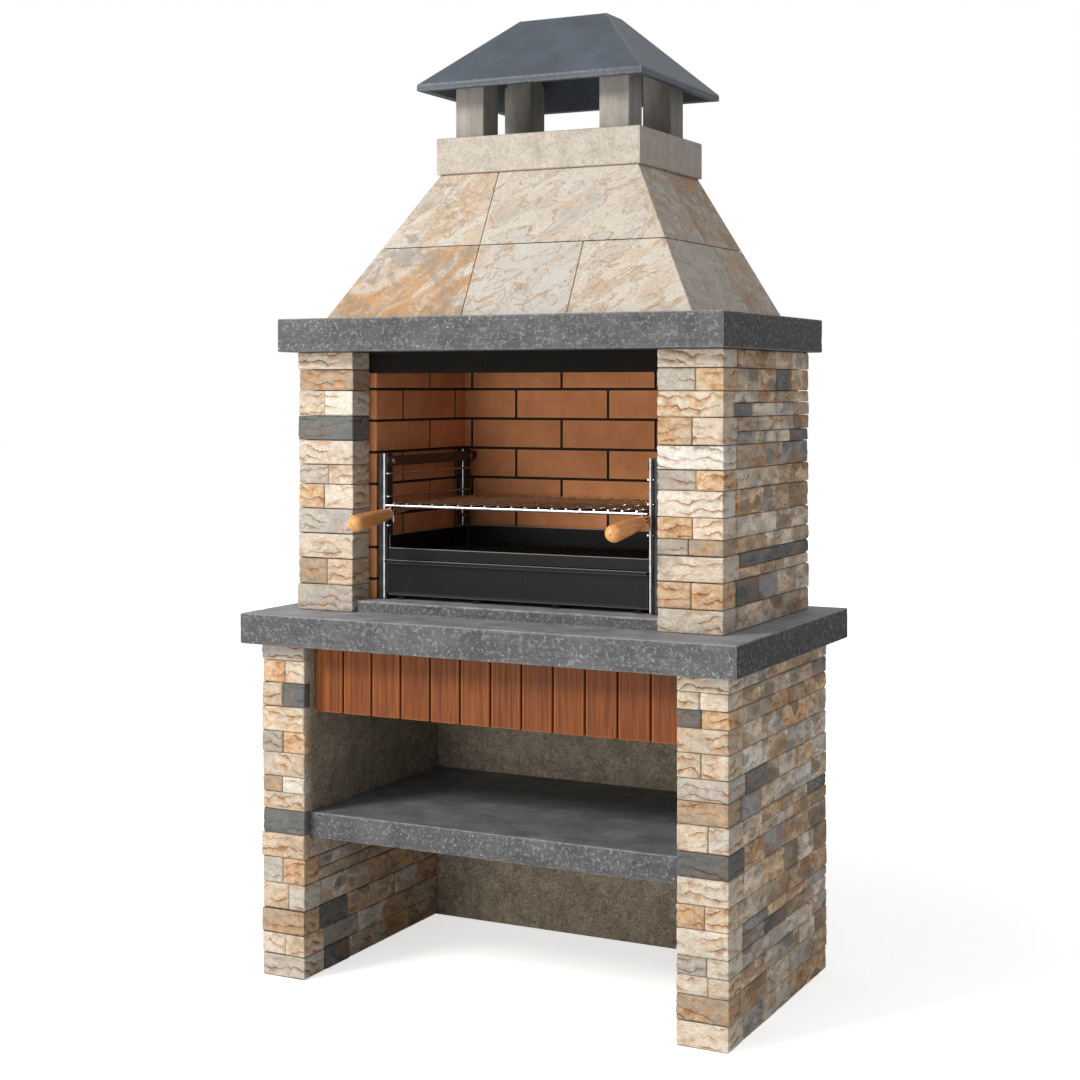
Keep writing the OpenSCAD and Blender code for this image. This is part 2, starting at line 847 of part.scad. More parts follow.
// Six-sided slab from the four corners of its foot and the four of its top
module slab_between(foot, top) {
    polyhedron(points = concat(foot, top), faces = [[0, 1, 2, 3], [7, 6, 5, 4],
        [4, 5, 1, 0], [5, 6, 2, 1], [6, 7, 3, 2], [7, 4, 0, 3]]);
}

// Corners of a front tile at a height: an end is a joint, or the mitre at a hip of the hood
function front_tile(z, a, b) =
    let (y = hood_front(z), hip = hood_half(z) - tile_gap / 2, g = tile_gap / 2)
    [[a == "hip" ? -hip : a + g, y, z], [b == "hip" ? hip : b - g, y, z],
        [b == "hip" ? hip - tile_t : b - g, y + tile_t, z],
        [a == "hip" ? -hip + tile_t : a + g, y + tile_t, z]];

// Corners of a tile on the right side at a height, from the hip or a joint to the next
function side_tile(z, a, b) =
    let (x = hood_half(z), hip = hood_front(z) + tile_gap / 2, g = tile_gap / 2)
    [[x, a == "hip" ? hip : a + g, z], [x, b == "end" ? hood_back(z) : b - g, z],
        [x - tile_t, b == "end" ? hood_back(z) : b - g, z],
        [x - tile_t, a == "hip" ? hip + tile_t : a + g, z]];

// Feet and tops of the two rows of tiles
tile_rows = [[hood_base, hood_base + tile_row - tile_gap / 2],
    [hood_base + tile_row + tile_gap / 2, collar_base]];
tile_tone = "#cfc4b2";

module hood_front_tiles() {
    seams = [["hip", tile_seam, tile_seam + tile_l, "hip"], ["hip", tile_seam, "hip"]];
    color(tile_tone)
        for (row = [0, 1])
            for (i = [0:len(seams[row]) - 2]) {
                a = seams[row][i];
                b = seams[row][i + 1];
                slab_between(front_tile(tile_rows[row][0], a, b),
                    front_tile(tile_rows[row][1], a, b));
            }
}

// The side joints stand near the flue's middle, a little further back in the lower row
side_seams = [flue_y + 10, flue_y - 28];

module side_tiles() {
    for (row = [0, 1]) {
        seam = side_seams[row];
        for (ends = [["hip", seam], [seam, "end"]])
            slab_between(side_tile(tile_rows[row][0], ends[0], ends[1]),
                side_tile(tile_rows[row][1], ends[0], ends[1]));
    }
}

module hood_right_tiles() {
    color(tile_tone)
        side_tiles();
}

module hood_left_tiles() {
    color(tile_tone)
        mirror([1, 0, 0])
            side_tiles();
}

module chimney_collar() {
    color("#c8beb1")
        difference() {
            eased_block([-collar_w / 2, collar_y0, collar_base], [collar_w, collar_d, collar_h], 2);
            block([-flue_w / 2, flue_y - flue_d / 2, collar_base - past],
                [flue_w / 2, flue_y + flue_d / 2, collar_top + past]);
        }
}

// The cap is hollow underneath. Its hollow is also what the legs are bedded against.
cap_top = eaves_base + cap_edge + cap_rise;

module cap_hollow() {
    frustum(cap_w / 2 - cap_wall, flue_y - cap_d / 2 + cap_wall, flue_y + cap_d / 2 - cap_wall,
        ridge_w / 2 - cap_wall / 4, flue_y - ridge_d / 2 + cap_wall / 4,
        flue_y + ridge_d / 2 - cap_wall / 4, eaves_base, cap_top - cap_wall);
}

module cap_roof() {
    color("#4b505b")
        difference() {
            union() {
                block([-cap_w / 2, flue_y - cap_d / 2, eaves_base],
                    [cap_w / 2, flue_y + cap_d / 2, eaves_base + cap_edge]);
                frustum(cap_w / 2, flue_y - cap_d / 2, flue_y + cap_d / 2,
                    ridge_w / 2, flue_y - ridge_d / 2, flue_y + ridge_d / 2,
                    eaves_base + cap_edge, cap_top);
            }
            cap_hollow();
            block([cap_wall - cap_w / 2, flue_y - cap_d / 2 + cap_wall, eaves_base - past],
                [cap_w / 2 - cap_wall, flue_y + cap_d / 2 - cap_wall, eaves_base]);
        }
}

module cap_legs() {
    x1 = collar_w / 2 - leg_side;
    y0 = collar_y0 + leg_front;
    y1 = collar_y1 - leg_front;
    color("#8d8a85")
        intersection() {
            for (side = [-1, 1])
                for (y = [y0, y1 - leg_w])
                    block([min(side * x1, side * (x1 - leg_w)), y, collar_top],
                        [max(side * x1, side * (x1 - leg_w)), y + leg_w, cap_top]);
            union() {
                cap_hollow();
                block([-collar_w / 2, collar_y0, collar_top], [collar_w / 2, collar_y1, eaves_base]);
            }
        }
}

// Repeats its children at the four posts, drawn for the front right one
module at_posts() {
    for (side = [-1, 1])
        for (y = [0, post_pitch])
            scale([side, 1, 1])
                translate([0, y, 0])
                    children();
}

// Each post is a channel that opens to the back
module rack_posts() {
    color(steel_black)
        at_posts()
            translate([post_x0, post_y, hearth_top])
                linear_extrude(post_h)
                    difference() {
                        square([post_w, post_d]);
                        translate([post_wall, post_wall])
                            square([post_w - 2 * post_wall, post_d]);
                    }
}

// Spacers hold the posts off the firebricks, at these shares of their height
spacer_places = [0.2, 0.85];

module rack_spacers() {
    spacer_d = 12;
    color(chrome_tone)
        at_posts()
            for (z = spacer_places)
                translate([post_x1, post_y + post_d / 2, hearth_top + z * post_h])
                    rotate([0, 90, 0])
                        cylinder(h = post_gap, d = spacer_d);
}

// A chrome rod stands in front of each post
module rack_rods() {
    color(chrome_tone)
        at_posts()
            translate([rod_x, rod_y, hearth_top])
                cylinder(h = post_h, d = rod_d);
}

// Flat straps tie the heads of the posts together and end at the back firebricks
strap_t = 3;
strap_gap = 2;
strap_x1 = post_x0 - strap_gap;

module rack_straps() {
    r = strap_h / 2;
    y0 = post_y + r / 2;
    y1 = chamber_back - free - r;
    color("#3b2a22")
        for (side = [-1, 1])
            scale([side, 1, 1])
                translate([strap_x1 - strap_t, 0, hearth_top + strap_z])
                    rotate([90, 0, 90])
                        union() {
                            translate([y0, -r])
                                linear_extrude(strap_t)
                                    square([y1 - y0, 2 * r]);
                            for (y = [y0, y1])
                                translate([y, 0])
                                    cylinder(h = strap_t, r = r);
                        }
}

// Bolts through the straps into the posts
module rack_bolts() {
    head_t = 5;
    color(chrome_tone)
        at_posts()
            translate([0, post_y + post_d / 2, hearth_top + strap_z])
                rotate([0, 90, 0]) {
                    translate([0, 0, strap_x1 - strap_t - head_t])
                        cylinder(h = head_t, d = 12);
                    translate([0, 0, strap_x1])
                        cylinder(h = post_x0 - strap_x1, d = 8);
                }
}

// Rungs on cross pins. The lowest rises into a cradle that the grill slides on.
rung_over = 16;
cradle_lead = 22;

module rack_rungs() {
    y0 = pin_y;
    y1 = pin_y + post_pitch;
    y2 = y1 + rung_over;
    low = hearth_top + rung_low;
    color(chrome_tone)
        for (side = [-1, 1])
            scale([side, 1, 1])
                union() {
                    for (z = [rung_mid, rung_high])
                        rod([rung_x, y0, hearth_top + z], [rung_x, y2, hearth_top + z], rung_d);
                    translate([rung_x, 0, 0])
                        rotate([90, 0, 90])
                            bent_wire([[y0, low], [y0 + cradle_lead, low],
                                [y0 + cradle_lead, cradle_z], [y1 - cradle_lead, cradle_z],
                                [y1 - cradle_lead, low], [y2, low]],
                                rung_d, 2 * rung_d);
                    for (y = [y0, y1])
                        for (z = [rung_low, rung_mid, rung_high])
                            rod([rung_x, y, hearth_top + z],
                                [rod_x + rod_d, y, hearth_top + z], pin_d);
                }
}

// Sheet-steel firebox: floor, cheeks and back, open to the front for the drawer
module firebox_casing() {
    y1 = tray_y0 + tray_d;
    color(steel_black)
        difference() {
            block([-casing_x, tray_y0, casing_base], [casing_x, y1, tray_base]);
            block([-casing_x + sheet_t, tray_y0 - past, casing_floor],
                [casing_x - sheet_t, y1 - sheet_t, tray_base + past]);
        }
}

module firebox_feet() {
    reach = casing_x - foot_d;
    color("#1c1c1c")
        for (x = [-reach, -reach / 3, reach / 3, reach])
            for (y = [tray_y0 + foot_d / 2 + 4, tray_y0 + tray_d - foot_d / 2 - 4])
                translate([x, y, hearth_top])
                    cylinder(h = foot_h, d = foot_d);
}

grate_y0 = tray_y0 + (tray_d - grate_d) / 2;

// Charcoal tray: low in front, with a folded rim, and open under the grate
module charcoal_tray() {
    y1 = tray_y0 + tray_d;
    rim = 8;
    seat = 12;
    color(steel_black)
        union() {
            difference() {
                block([-casing_x, tray_y0, tray_base], [casing_x, y1, tray_base + tray_side_h]);
                block([-casing_x + sheet_t, tray_y0 + sheet_t, tray_floor],
                    [casing_x - sheet_t, y1 - sheet_t, tray_base + tray_side_h + past]);
                block([-casing_x - past, tray_y0 - past, tray_base + tray_front_h],
                    [casing_x + past, tray_y0 + sheet_t, tray_base + tray_side_h + past]);
                block([-grate_w / 2 + seat, grate_y0 + seat, tray_base - past],
                    [grate_w / 2 - seat, grate_y0 + grate_d - seat, tray_floor + past]);
            }
            block([-casing_x, tray_y0, tray_base + tray_front_h - sheet_t],
                [casing_x, tray_y0 + rim, tray_base + tray_front_h]);
        }
}

// Cast grate: a frame with bars across, tapered so that ash falls through
module charcoal_grate() {
    rib = 14;
    pitch = (grate_w - rib) / grate_bars;
    bar_top = 9;
    bar_foot = 5;
    z0 = tray_floor + free;
    color("#1a1a1a")
        union() {
            difference() {
                block([-grate_w / 2, grate_y0, z0], [grate_w / 2, grate_y0 + grate_d, z0 + grate_t]);
                block([-grate_w / 2 + rib, grate_y0 + rib, z0 - past],
                    [grate_w / 2 - rib, grate_y0 + grate_d - rib, z0 + grate_t + past]);
            }
            for (i = [1:grate_bars - 1])
                translate([-grate_w / 2 + rib / 2 + i * pitch, grate_y0 + grate_d - rib, z0])
                    rotate([90, 0, 0])
                        linear_extrude(grate_d - 2 * rib)
                            polygon([[-bar_foot / 2, 0], [bar_foot / 2, 0],
                                [bar_top / 2, grate_t], [-bar_top / 2, grate_t]]);
        }
}

// Ash drawer: a shallow sheet box
drawer_wall_h = drawer_h - 22;
drawer_z = casing_floor + free;

module drawer_box() {
    y0 = drawer_y0 + sheet_t;
    y1 = tray_y0 + tray_d - 2 * sheet_t - drawer_clear;
    color(steel_black)
        difference() {
            block([-drawer_x, y0, drawer_z], [drawer_x, y1, drawer_z + drawer_wall_h]);
            block([-drawer_x + sheet_t, y0 + sheet_t, drawer_z + sheet_t],
                [drawer_x - sheet_t, y1 - sheet_t, drawer_z + drawer_wall_h + past]);
        }
}

// Its front's top edge is folded forward and down, as a grip for the fingers
module drawer_front() {
    half = casing_x - free;
    low = casing_floor + 3;
    high = tray_base - 1;
    lip = 2;
    color(steel_black)
        union() {
            block([-half, drawer_y0, low], [half, drawer_y0 + sheet_t, high]);
            translate([-half, drawer_y0, high])
                rotate([90, 0, 90])
                    linear_extrude(2 * half)
                        polygon([[past, 0], [-grip_d, 0], [-grip_d, -grip_h],
                            [lip - grip_d, -grip_h], [lip - grip_d, -lip], [past, -lip]]);
        }
}

// Chrome grill: a front bar, a bent bar round the sides and the back, wires laid across
// them, and the rods that carry the handles
module grill_grate() {
    wire_x = frame_x - wire_inset;
    wire_over = 5;
    weld = 0.8;
    back_y = bar_y + grill_d;
    wire_z = bar_z + side_bar_d / 2 + wire_d / 2 - weld;
    color(chrome_tone)
        union() {
            rod([-frame_x, bar_y, bar_z], [frame_x, bar_y, bar_z], bar_d);
            translate([0, 0, bar_z])
                bent_wire([[side_bar_x, bar_y], [side_bar_x, back_y], [-side_bar_x, back_y],
                    [-side_bar_x, bar_y]], side_bar_d, 2 * side_bar_d);
            for (y = [cross_bar_y, 2 * cross_bar_y - bar_y])
                rod([-side_bar_x, y, bar_z], [side_bar_x, y, bar_z], cross_bar_d);
            for (i = [0:wire_count - 1]) {
                x = -wire_x + 2 * wire_x * i / (wire_count - 1);
                rod([x, bar_y - wire_over, wire_z], [x, back_y + wire_over, wire_z], wire_d);
            }
            for (side = [-1, 1])
                handle_rods(side * handle_x);
        }
}

// Direction of a handle, from its rear end up and back under the grill
handle_run = [0, cos(handle_droop), sin(handle_droop)];

// How deep the rods reach into a handle
handle_bore = 50;

// Places a rod of a handle, over or under its axis
function handle_rod_end(x, side, reach) =
    [x, handle_rear_y, handle_z + side * handle_rod_pitch / 2] + reach * handle_run;

// Two rods, one over the other, run back from a handle and hang from the front bar and
// the first bar behind it
module handle_rods(x) {
    reach = (cross_bar_y - handle_rear_y) / cos(handle_droop);
    hanger_d = handle_rod_d + 1;
    for (side = [-1, 1])
        rod(handle_rod_end(x, side, -handle_bore), handle_rod_end(x, side, reach), handle_rod_d);
    for (y = [bar_y, cross_bar_y])
        rod([x, y, handle_rod_end(x, -1, (y - handle_rear_y) / cos(handle_droop))[2]],
            [x, y, bar_z], hanger_d);
}

// Turned handle: round tip, slow taper, and a groove and a bead at its rear end
module handle(x) {
    r = handle_d / 2;
    rear_r = handle_rear_d / 2;
    bead = 12;
    groove = 1.6;
    tip = handle_l - r;
    arc = [for (a = [0:10:90]) [r * cos(a), tip + r * sin(a)]];
    color("#d9985a")
        difference() {
            translate([x, handle_rear_y, handle_z])
                rotate([90 + handle_droop, 0, 0])
                    rotate_extrude()
                        polygon(concat([[0, 0], [rear_r - 2, 0], [rear_r, 2],
                            [rear_r + 0.5, bead - 2], [rear_r - groove, bead],
                            [rear_r + 1, bead + 3]], arc));
            for (side = [-1, 1])
                rod(handle_rod_end(x, side, -handle_bore), handle_rod_end(x, side, bead),
                    handle_rod_d);
        }
}

module left_handle() {
    handle(-handle_x);
}

module right_handle() {
    handle(handle_x);
}

worktop_slab();
hearth_slab();
shelf_slab();
lower_back_panel();
lower_left_core();
lower_right_core();
lower_left_stones();
lower_right_stones();
fascia_slats();
fascia_rail();
fascia_brackets();
upper_left_core();
upper_right_core();
upper_back_core();
upper_left_stones();
upper_right_stones();
firebrick_left();
firebrick_right();
firebrick_back();
fire_mortar();
smoke_lintel();
mantel_slab();
hood_body();
hood_front_tiles();
hood_left_tiles();
hood_right_tiles();
chimney_collar();
cap_legs();
cap_roof();
rack_posts();
rack_spacers();
rack_rods();
rack_straps();
rack_rungs();
rack_bolts();
firebox_casing();
firebox_feet();
charcoal_tray();
charcoal_grate();
drawer_box();
drawer_front();
grill_grate();
left_handle();
right_handle();
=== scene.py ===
# %% [markdown]
# Masonry barbecue, dressed for a picture.
# The solids of the barbecue come from its CAD model, already in their places, in metres.
# Here they get the split stone, brick, wood and steel that one sees on the real thing.
# Most pieces are rebuilt over their solid with finer form, and a few keep it and only
# get a material.

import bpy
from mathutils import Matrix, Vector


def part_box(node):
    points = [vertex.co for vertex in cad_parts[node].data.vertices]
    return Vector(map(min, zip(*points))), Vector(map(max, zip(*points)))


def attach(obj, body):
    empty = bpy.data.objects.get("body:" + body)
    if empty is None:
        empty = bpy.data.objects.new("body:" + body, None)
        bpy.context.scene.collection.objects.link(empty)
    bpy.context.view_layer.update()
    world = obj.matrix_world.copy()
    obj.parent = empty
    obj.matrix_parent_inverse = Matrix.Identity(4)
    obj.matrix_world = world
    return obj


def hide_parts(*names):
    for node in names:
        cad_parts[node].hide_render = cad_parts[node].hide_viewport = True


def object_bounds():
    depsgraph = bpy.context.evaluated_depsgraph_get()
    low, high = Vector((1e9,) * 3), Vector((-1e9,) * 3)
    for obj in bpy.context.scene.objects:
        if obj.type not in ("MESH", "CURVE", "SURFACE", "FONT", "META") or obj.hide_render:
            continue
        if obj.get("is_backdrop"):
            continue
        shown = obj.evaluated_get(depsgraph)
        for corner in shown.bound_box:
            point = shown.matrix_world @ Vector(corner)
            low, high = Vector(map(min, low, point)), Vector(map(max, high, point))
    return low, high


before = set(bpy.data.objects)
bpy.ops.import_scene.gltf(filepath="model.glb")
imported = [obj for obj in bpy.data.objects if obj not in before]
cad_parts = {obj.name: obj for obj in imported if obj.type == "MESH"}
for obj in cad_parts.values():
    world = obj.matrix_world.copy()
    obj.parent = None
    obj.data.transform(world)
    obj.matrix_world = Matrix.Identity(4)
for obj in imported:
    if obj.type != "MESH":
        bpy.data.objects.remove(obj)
cad_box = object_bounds()

# %% The tools that the lesson uses
import math
import random
from functools import partial

import bmesh
import bpy
import numpy as np
from mathutils import Vector, noise

MM = 0.001
# Points closer than this are one point
WELD = 0.01 * MM
scene = bpy.context.scene
scene.view_settings.view_transform = "Standard"

# %% [markdown]
# Colours are written as they look on a screen, in hex. The renderer wants them linear,
# so one function turns them. A second small function adds a node to a material, with its
# settings and its links. Inputs come first, in the node's own order: a mix says how much,
# over what, and what. This keeps every material readable as a list of what it mixes. What
# the materials have in common are groups of nodes: a noise read by a ramp, worn edges,
# and an end with the roughness and the relief.

# %% Colour and node helpers
def linear(code):
    """An sRGB hex colour as linear red, green, blue and alpha."""
    parts = [int(code[i:i + 2], 16) / 255 for i in (1, 3, 5)]
    return [p / 12.92 if p <= 0.04045 else ((p + 0.055) / 1.055) ** 2.4 for p in parts] + [1.0]


def feed(socket, value):
    """Fills an input. A node is linked by its factor, or by its first output if it has none,
    a hex colour is turned linear, and any other value is linked or set as it is."""
    if isinstance(value, bpy.types.Node):
        value = value.outputs.get("Fac") or value.outputs[0]
    if isinstance(value, bpy.types.NodeSocket):
        socket.id_data.links.new(value, socket)
    else:
        socket.default_value = linear(value) if isinstance(value, str) else value


def settle(node, **values):
    """Fills the inputs of those names, where _ stands for a space."""
    for name, value in values.items():
        feed(node.inputs[name.replace("_", " ")], value)


def add_node(tree, kind, *inputs, stops=(), **settings):
    """Adds a node and fills its inputs in order. A word after the kind is what the node does.
    Of the settings, a lower-case name sets a property, and another one fills the input of
    that name. stops are those of a ramp."""
    kind, _, mode = kind.partition(" ")
    node = tree.nodes.new("ShaderNode" + kind)
    if mode:
        setattr(node, "blend_type" if kind == "MixRGB" else "operation", mode)
    for name, value in settings.items():
        if name[0].islower():
            setattr(node, name, value)
        else:
            settle(node, **{name: value})
    for socket, value in zip(node.inputs, inputs):
        feed(socket, value)
    if stops:
        ramp = node.color_ramp
        while len(ramp.elements) < len(stops):
            ramp.elements.new(1.0)
        for element, (place, colour) in zip(ramp.elements, stops):
            element.position = place
            element.color = linear(colour) if isinstance(colour, str) else [colour] * 3 + [1.0]
    return node


def node_adder(owner):
    """Empties the nodes of a material or a world, and gives the function that adds to it."""
    owner.use_nodes = True
    owner.node_tree.nodes.clear()
    return partial(add_node, owner.node_tree)


def new_material(name):
    """A material, the function that adds its nodes, the shader that everything ends in, and
    the place in metres by which textures are laid."""
    material = bpy.data.materials.new(name)
    add = node_adder(material)
    shader = add("BsdfPrincipled")
    add("OutputMaterial", shader)
    return material, add, shader, add("TexCoord").outputs["Object"]


def per_metre(millimetres):
    """Texture scale whose features have that size."""
    return 1.0 / (millimetres * MM)


def pattern(add, vector, size, stops, over=None, amount=1.0, **settings):
    """A noise whose features are size millimetres across, and the ramp that reads it. Laid
    over a colour, the ramp darkens and lightens that colour."""
    field = add("TexNoise", vector, Scale=per_metre(size), **settings)
    shown = add("ValToRGB", field, stops=stops)
    if over is not None:
        shown = add("MixRGB MULTIPLY", amount, over, shown)
    return field, shown


def own_place(add, coords, way):
    """The number that a loose part drew, and a place in the texture that is moved along way
    by that number, so that no two parts are alike."""
    luck = add("Attribute", attribute_name="luck")
    shift = add("VectorMath SCALE", way, Scale=luck)
    return luck, add("VectorMath ADD", coords, shift)


def contour(add, field, value, stops):
    """Thin lines where a field passes a value: the ramp reads how far the field is from it."""
    away = add("Math ABSOLUTE", add("Math SUBTRACT", field, value))
    return add("ValToRGB", away, stops=stops)


def worn_and_lit_edges(add, over, bare, *amounts):
    """A colour whose edges go over into another one, as far as the edge layer and the amounts say:
    worn edges on some materials, a painted edge highlight on others.
    """
    edge_share = add("Attribute", attribute_name="wear")
    for amount in amounts:
        edge_share = add("Math MULTIPLY", edge_share, amount)
    return add("MixRGB", edge_share, over, bare)


def surface(add, shader, colour, dull, bumps, **values):
    """The end of a material. dull is the field that the roughness follows, and its least and
    its most. A bump is a strength, a depth in millimetres, and the field that it follows."""
    field, least, most = dull
    normal = None
    for strength, depth, height in bumps:
        bump = add("Bump", Strength=strength, Distance=depth * MM, Height=height)
        if normal:
            settle(bump, Normal=normal)
        normal = bump
    rough = add("MapRange", field, To_Min=least, To_Max=most)
    settle(shader, Base_Color=colour, Roughness=rough, Normal=normal, **values)

# %% [markdown]
# The camera stands where the photographer stood, to the right of the barbecue and a
# little below its mantel. It is held level, so that upright edges stay upright, and the
# lens is shifted down to take in the feet.

# %% Camera
IMAGE = 1080
FOCAL_PX = 1853.1
HORIZON_PX = 390.0
camera_data = bpy.data.cameras.new("camera")
camera_data.sensor_width = 36.0
camera_data.lens = FOCAL_PX / IMAGE * camera_data.sensor_width
camera_data.shift_y = (HORIZON_PX - IMAGE / 2) / IMAGE
camera = bpy.data.objects.new("camera", camera_data)
camera.location = (1.9905, -3.9575, 1.3867)
camera.rotation_euler = (math.radians(90), 0, math.radians(26.927))
scene.collection.objects.link(camera)
scene.camera = camera
print("lens", round(camera_data.lens, 1), "mm, shift", round(camera_data.shift_y, 3))

# %% [markdown]
# A plain pale studio: one soft lamp high on the left front, a weaker one low in front
# that reaches under the worktop, and an even white world. The floor is pale and keeps a
# soft shadow. Seen straight by the camera it is lifted, so that it reads as white paper.

# %% Light, world and floor
def lamp(name, place, aim, size, watts, tint):
    data = bpy.data.lights.new(name, "AREA")
    data.shape = "DISK"
    data.size = size
    data.energy = watts
    data.color = linear(tint)[:3]
    thing = bpy.data.objects.new(name, data)
    thing.location = place
    thing.rotation_euler = (Vector(aim) - Vector(place)).to_track_quat("-Z", "Y").to_euler()
    scene.collection.objects.link(thing)


CENTRE = (0.0, 0.0, 1.1)
lamp("key_lamp", (-3.4, -5.6, 5.0), CENTRE, 2.2, 400, "#fffaf3")
lamp("low_lamp", (-1.2, -5.4, 0.9), (0.0, 0.0, 0.8), 2.0, 75, "#fffaf3")

world = bpy.data.worlds.new("studio")
scene.world = world
add = node_adder(world)
path = add("LightPath")
seen = add("Math ADD", path.outputs["Is Camera Ray"], path.outputs["Is Glossy Ray"],
           use_clamp=True)
seen = add("Math ADD", seen, path.outputs["Is Transmission Ray"], use_clamp=True)
soft = add("Background", Color="#ffffff", Strength=0.37)
white = add("Background", Color="#ffffff", Strength=1.0)
mix = add("MixShader", seen, soft, white)
add("OutputWorld", mix)

paper = bpy.data.materials.new("studio_paper")
add = node_adder(paper)
path = add("LightPath")
matte = add("BsdfDiffuse", Color="#f2f2f1")
# Away from the barbecue the paper goes over into plain white
spot = add("TexCoord").outputs["Object"]
away = add("VectorMath LENGTH", spot)
far = add("MapRange", away.outputs["Value"], interpolation_type="SMOOTHSTEP", From_Min=0.9,
          From_Max=3.2, To_Min=0.65, To_Max=1.0)
lift = add("Math MULTIPLY", path.outputs["Is Camera Ray"], far)
glow = add("Emission", Color="#ffffff", Strength=lift)
both = add("AddShader", matte, glow)
add("OutputMaterial", both)

floor_mesh = bpy.data.meshes.new("studio_floor")
FLOOR = 30.0
floor_mesh.from_pydata([(-FLOOR, -FLOOR, 0), (FLOOR, -FLOOR, 0), (FLOOR, FLOOR, 0),
                        (-FLOOR, FLOOR, 0)], [], [(0, 1, 2, 3)])
floor = bpy.data.objects.new("studio_floor", floor_mesh)
floor_mesh.materials.append(paper)
scene.collection.objects.link(floor)
floor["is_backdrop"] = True

# %% [markdown]
# Every piece ends the same way: its points and faces become a mesh, which gets its
# material, takes the place of its CAD node, and rides on that node's body. Faces are
# smooth, apart from edges that turn more than a set angle.

# %% Turn points and faces into a piece
def finish_piece(name, mesh, shape, material, slot, nodes, body, sharp):
    """The worked shape goes back into its mesh, which becomes a piece in the scene."""
    shape.to_mesh(mesh)
    shape.free()
    mesh.shade_smooth()
    mesh.set_sharp_from_angle(angle=math.radians(sharp))
    mesh.materials.clear()
    mesh.materials.append(material)
    piece = bpy.data.objects.new(name, mesh)
    scene.collection.objects.link(piece)
    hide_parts(*nodes)
    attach(piece, body)
    print(name, len(mesh.polygons), "faces")


def place_piece(name, points, faces, material, slot, nodes, body="masonry", sharp=40.0, **layers):
    """layers are numbers or colours for each point, by name, for the material to read."""
    mesh = bpy.data.meshes.new(name)
    mesh.from_pydata(points, [], faces)
    for layer, values in layers.items():
        values = np.asarray(values, np.float32)
        kind, field = ("FLOAT", "value") if values.ndim == 1 else ("FLOAT_COLOR", "color")
        mesh.attributes.new(layer, kind, "POINT").data.foreach_set(field, values.ravel())
    shape = bmesh.new()
    shape.from_mesh(mesh)
    bmesh.ops.remove_doubles(shape, verts=shape.verts, dist=WELD)
    bmesh.ops.recalc_face_normals(shape, faces=shape.faces)
    finish_piece(name, mesh, shape, material, slot, nodes, body, sharp)


def net(start, columns, rows):
    """The faces of a net of points that are numbered from start, column by column."""
    corners = [start + i * rows + j for i in range(columns - 1) for j in range(rows - 1)]
    return [(a, a + rows, a + rows + 1, a + 1) for a in corners]


def closed_net(start, columns, rows, below, above):
    """A net with the sides and the back that close it. below and above are the corners of
    the back, in the order of the columns."""
    low = [start + i * rows for i in range(columns)]
    faces = net(start, columns, rows)
    faces += [low + below[::-1], [i + rows - 1 for i in low] + above[::-1]]
    for column, k in ((low[0], 0), (low[-1], -1)):
        faces.append([*range(column, column + rows), above[k], below[k]])
    return faces + [(below[k], below[k + 1], above[k + 1], above[k])
                    for k in range(len(below) - 1)]


def islands(shape):
    """The points of each loose part of a shape, part by part."""
    seen = set()
    for start in shape.verts:
        if start in seen:
            continue
        seen.add(start)
        group = [start]
        for point in group:
            for edge in point.link_edges:
                other = edge.other_vert(point)
                if other not in seen:
                    seen.add(other)
                    group.append(other)
        yield group


def loose_parts(name):
    """The separate solids of a CAD node: an array of corner points for each."""
    shape = bmesh.new()
    shape.from_mesh(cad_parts[name].data)
    bmesh.ops.remove_doubles(shape, verts=shape.verts, dist=WELD)
    parts = [np.array([tuple(point.co) for point in group]) for group in islands(shape)]
    shape.free()
    return parts

# %% [markdown]
# The pillars are faced with split quartzite, laid dry in courses. Each stone was broken,
# not sawn, so its face has ledges and hollows a few millimetres deep, while its beds are
# flat. The tone goes from cream to ochre and slate grey, in the same block of rock.
# A stone could be a box with a bump texture, but the ledges catch the light at the edges
# and at the corners of the pillar, so the face is a fine net of points that a noise
# pushes in and out. The net wraps round the corner where the stone does.

# %% Material: split quartzite
stone_material, add, shader, coords = new_material("split_quartzite")
# Patches are longer from front to back than they are high
drawn = add("Mapping", coords, Scale=(0.8, 0.5, 1.0))
tone = add("Attribute", attribute_name="tone")
luck, relief_shade, bed, lip, mixed = (add("Attribute", attribute_name=layer)
                                 for layer in ("luck", "relief_shade", "bed", "lip", "mixed"))
# The place within a ledge runs from 0 on its lip to 1 in the crack under the next one
jag = add("TexNoise", coords, noise_dimensions="4D", W=luck, Scale=per_metre(9), Detail=5.0,
          Roughness=0.68)
ragged = add("Math MULTIPLY_ADD", jag, 0.5, bed)
ledge = add("Math FRACT", ragged)
# Stains of iron gather at the cracks, and run through the rock in patches
patch = add("TexNoise", drawn, noise_dimensions="4D", W=luck, Scale=per_metre(30), Detail=5.0,
            Roughness=0.62, Distortion=1.4)
damp_and_inner_shade = add("ValToRGB", ledge, stops=[(0.3, 0.0), (0.88, 0.2), (1.0, 0.0)])
near = add("Math MULTIPLY_ADD", damp_and_inner_shade, lip, patch)
own = add("Math MULTIPLY_ADD", tone.outputs["Alpha"], 0.2, near)
stained = add("ValToRGB", own, stops=[(0.55, 0.0), (0.64, 0.24), (0.84, 0.85)])
_, iron = pattern(add, coords, 16, [(0.34, "#a26c3a"), (0.5, "#cb9256"), (0.66, "#e2b782")],
                  Detail=4.0, Roughness=0.6)
rust = add("MixRGB", stained, tone.outputs["Color"], iron)
# Grey rock comes through, most of all on the stones of the sides
_, cloud = pattern(add, drawn, 34, [(0.55, 0.0), (0.66, 0.85)], noise_dimensions="4D", W=luck,
                   Detail=4.0, Roughness=0.55, Distortion=1.6)
through = add("Math MULTIPLY", cloud, mixed)
greyed = add("MixRGB", through, rust, "#8f8c88")
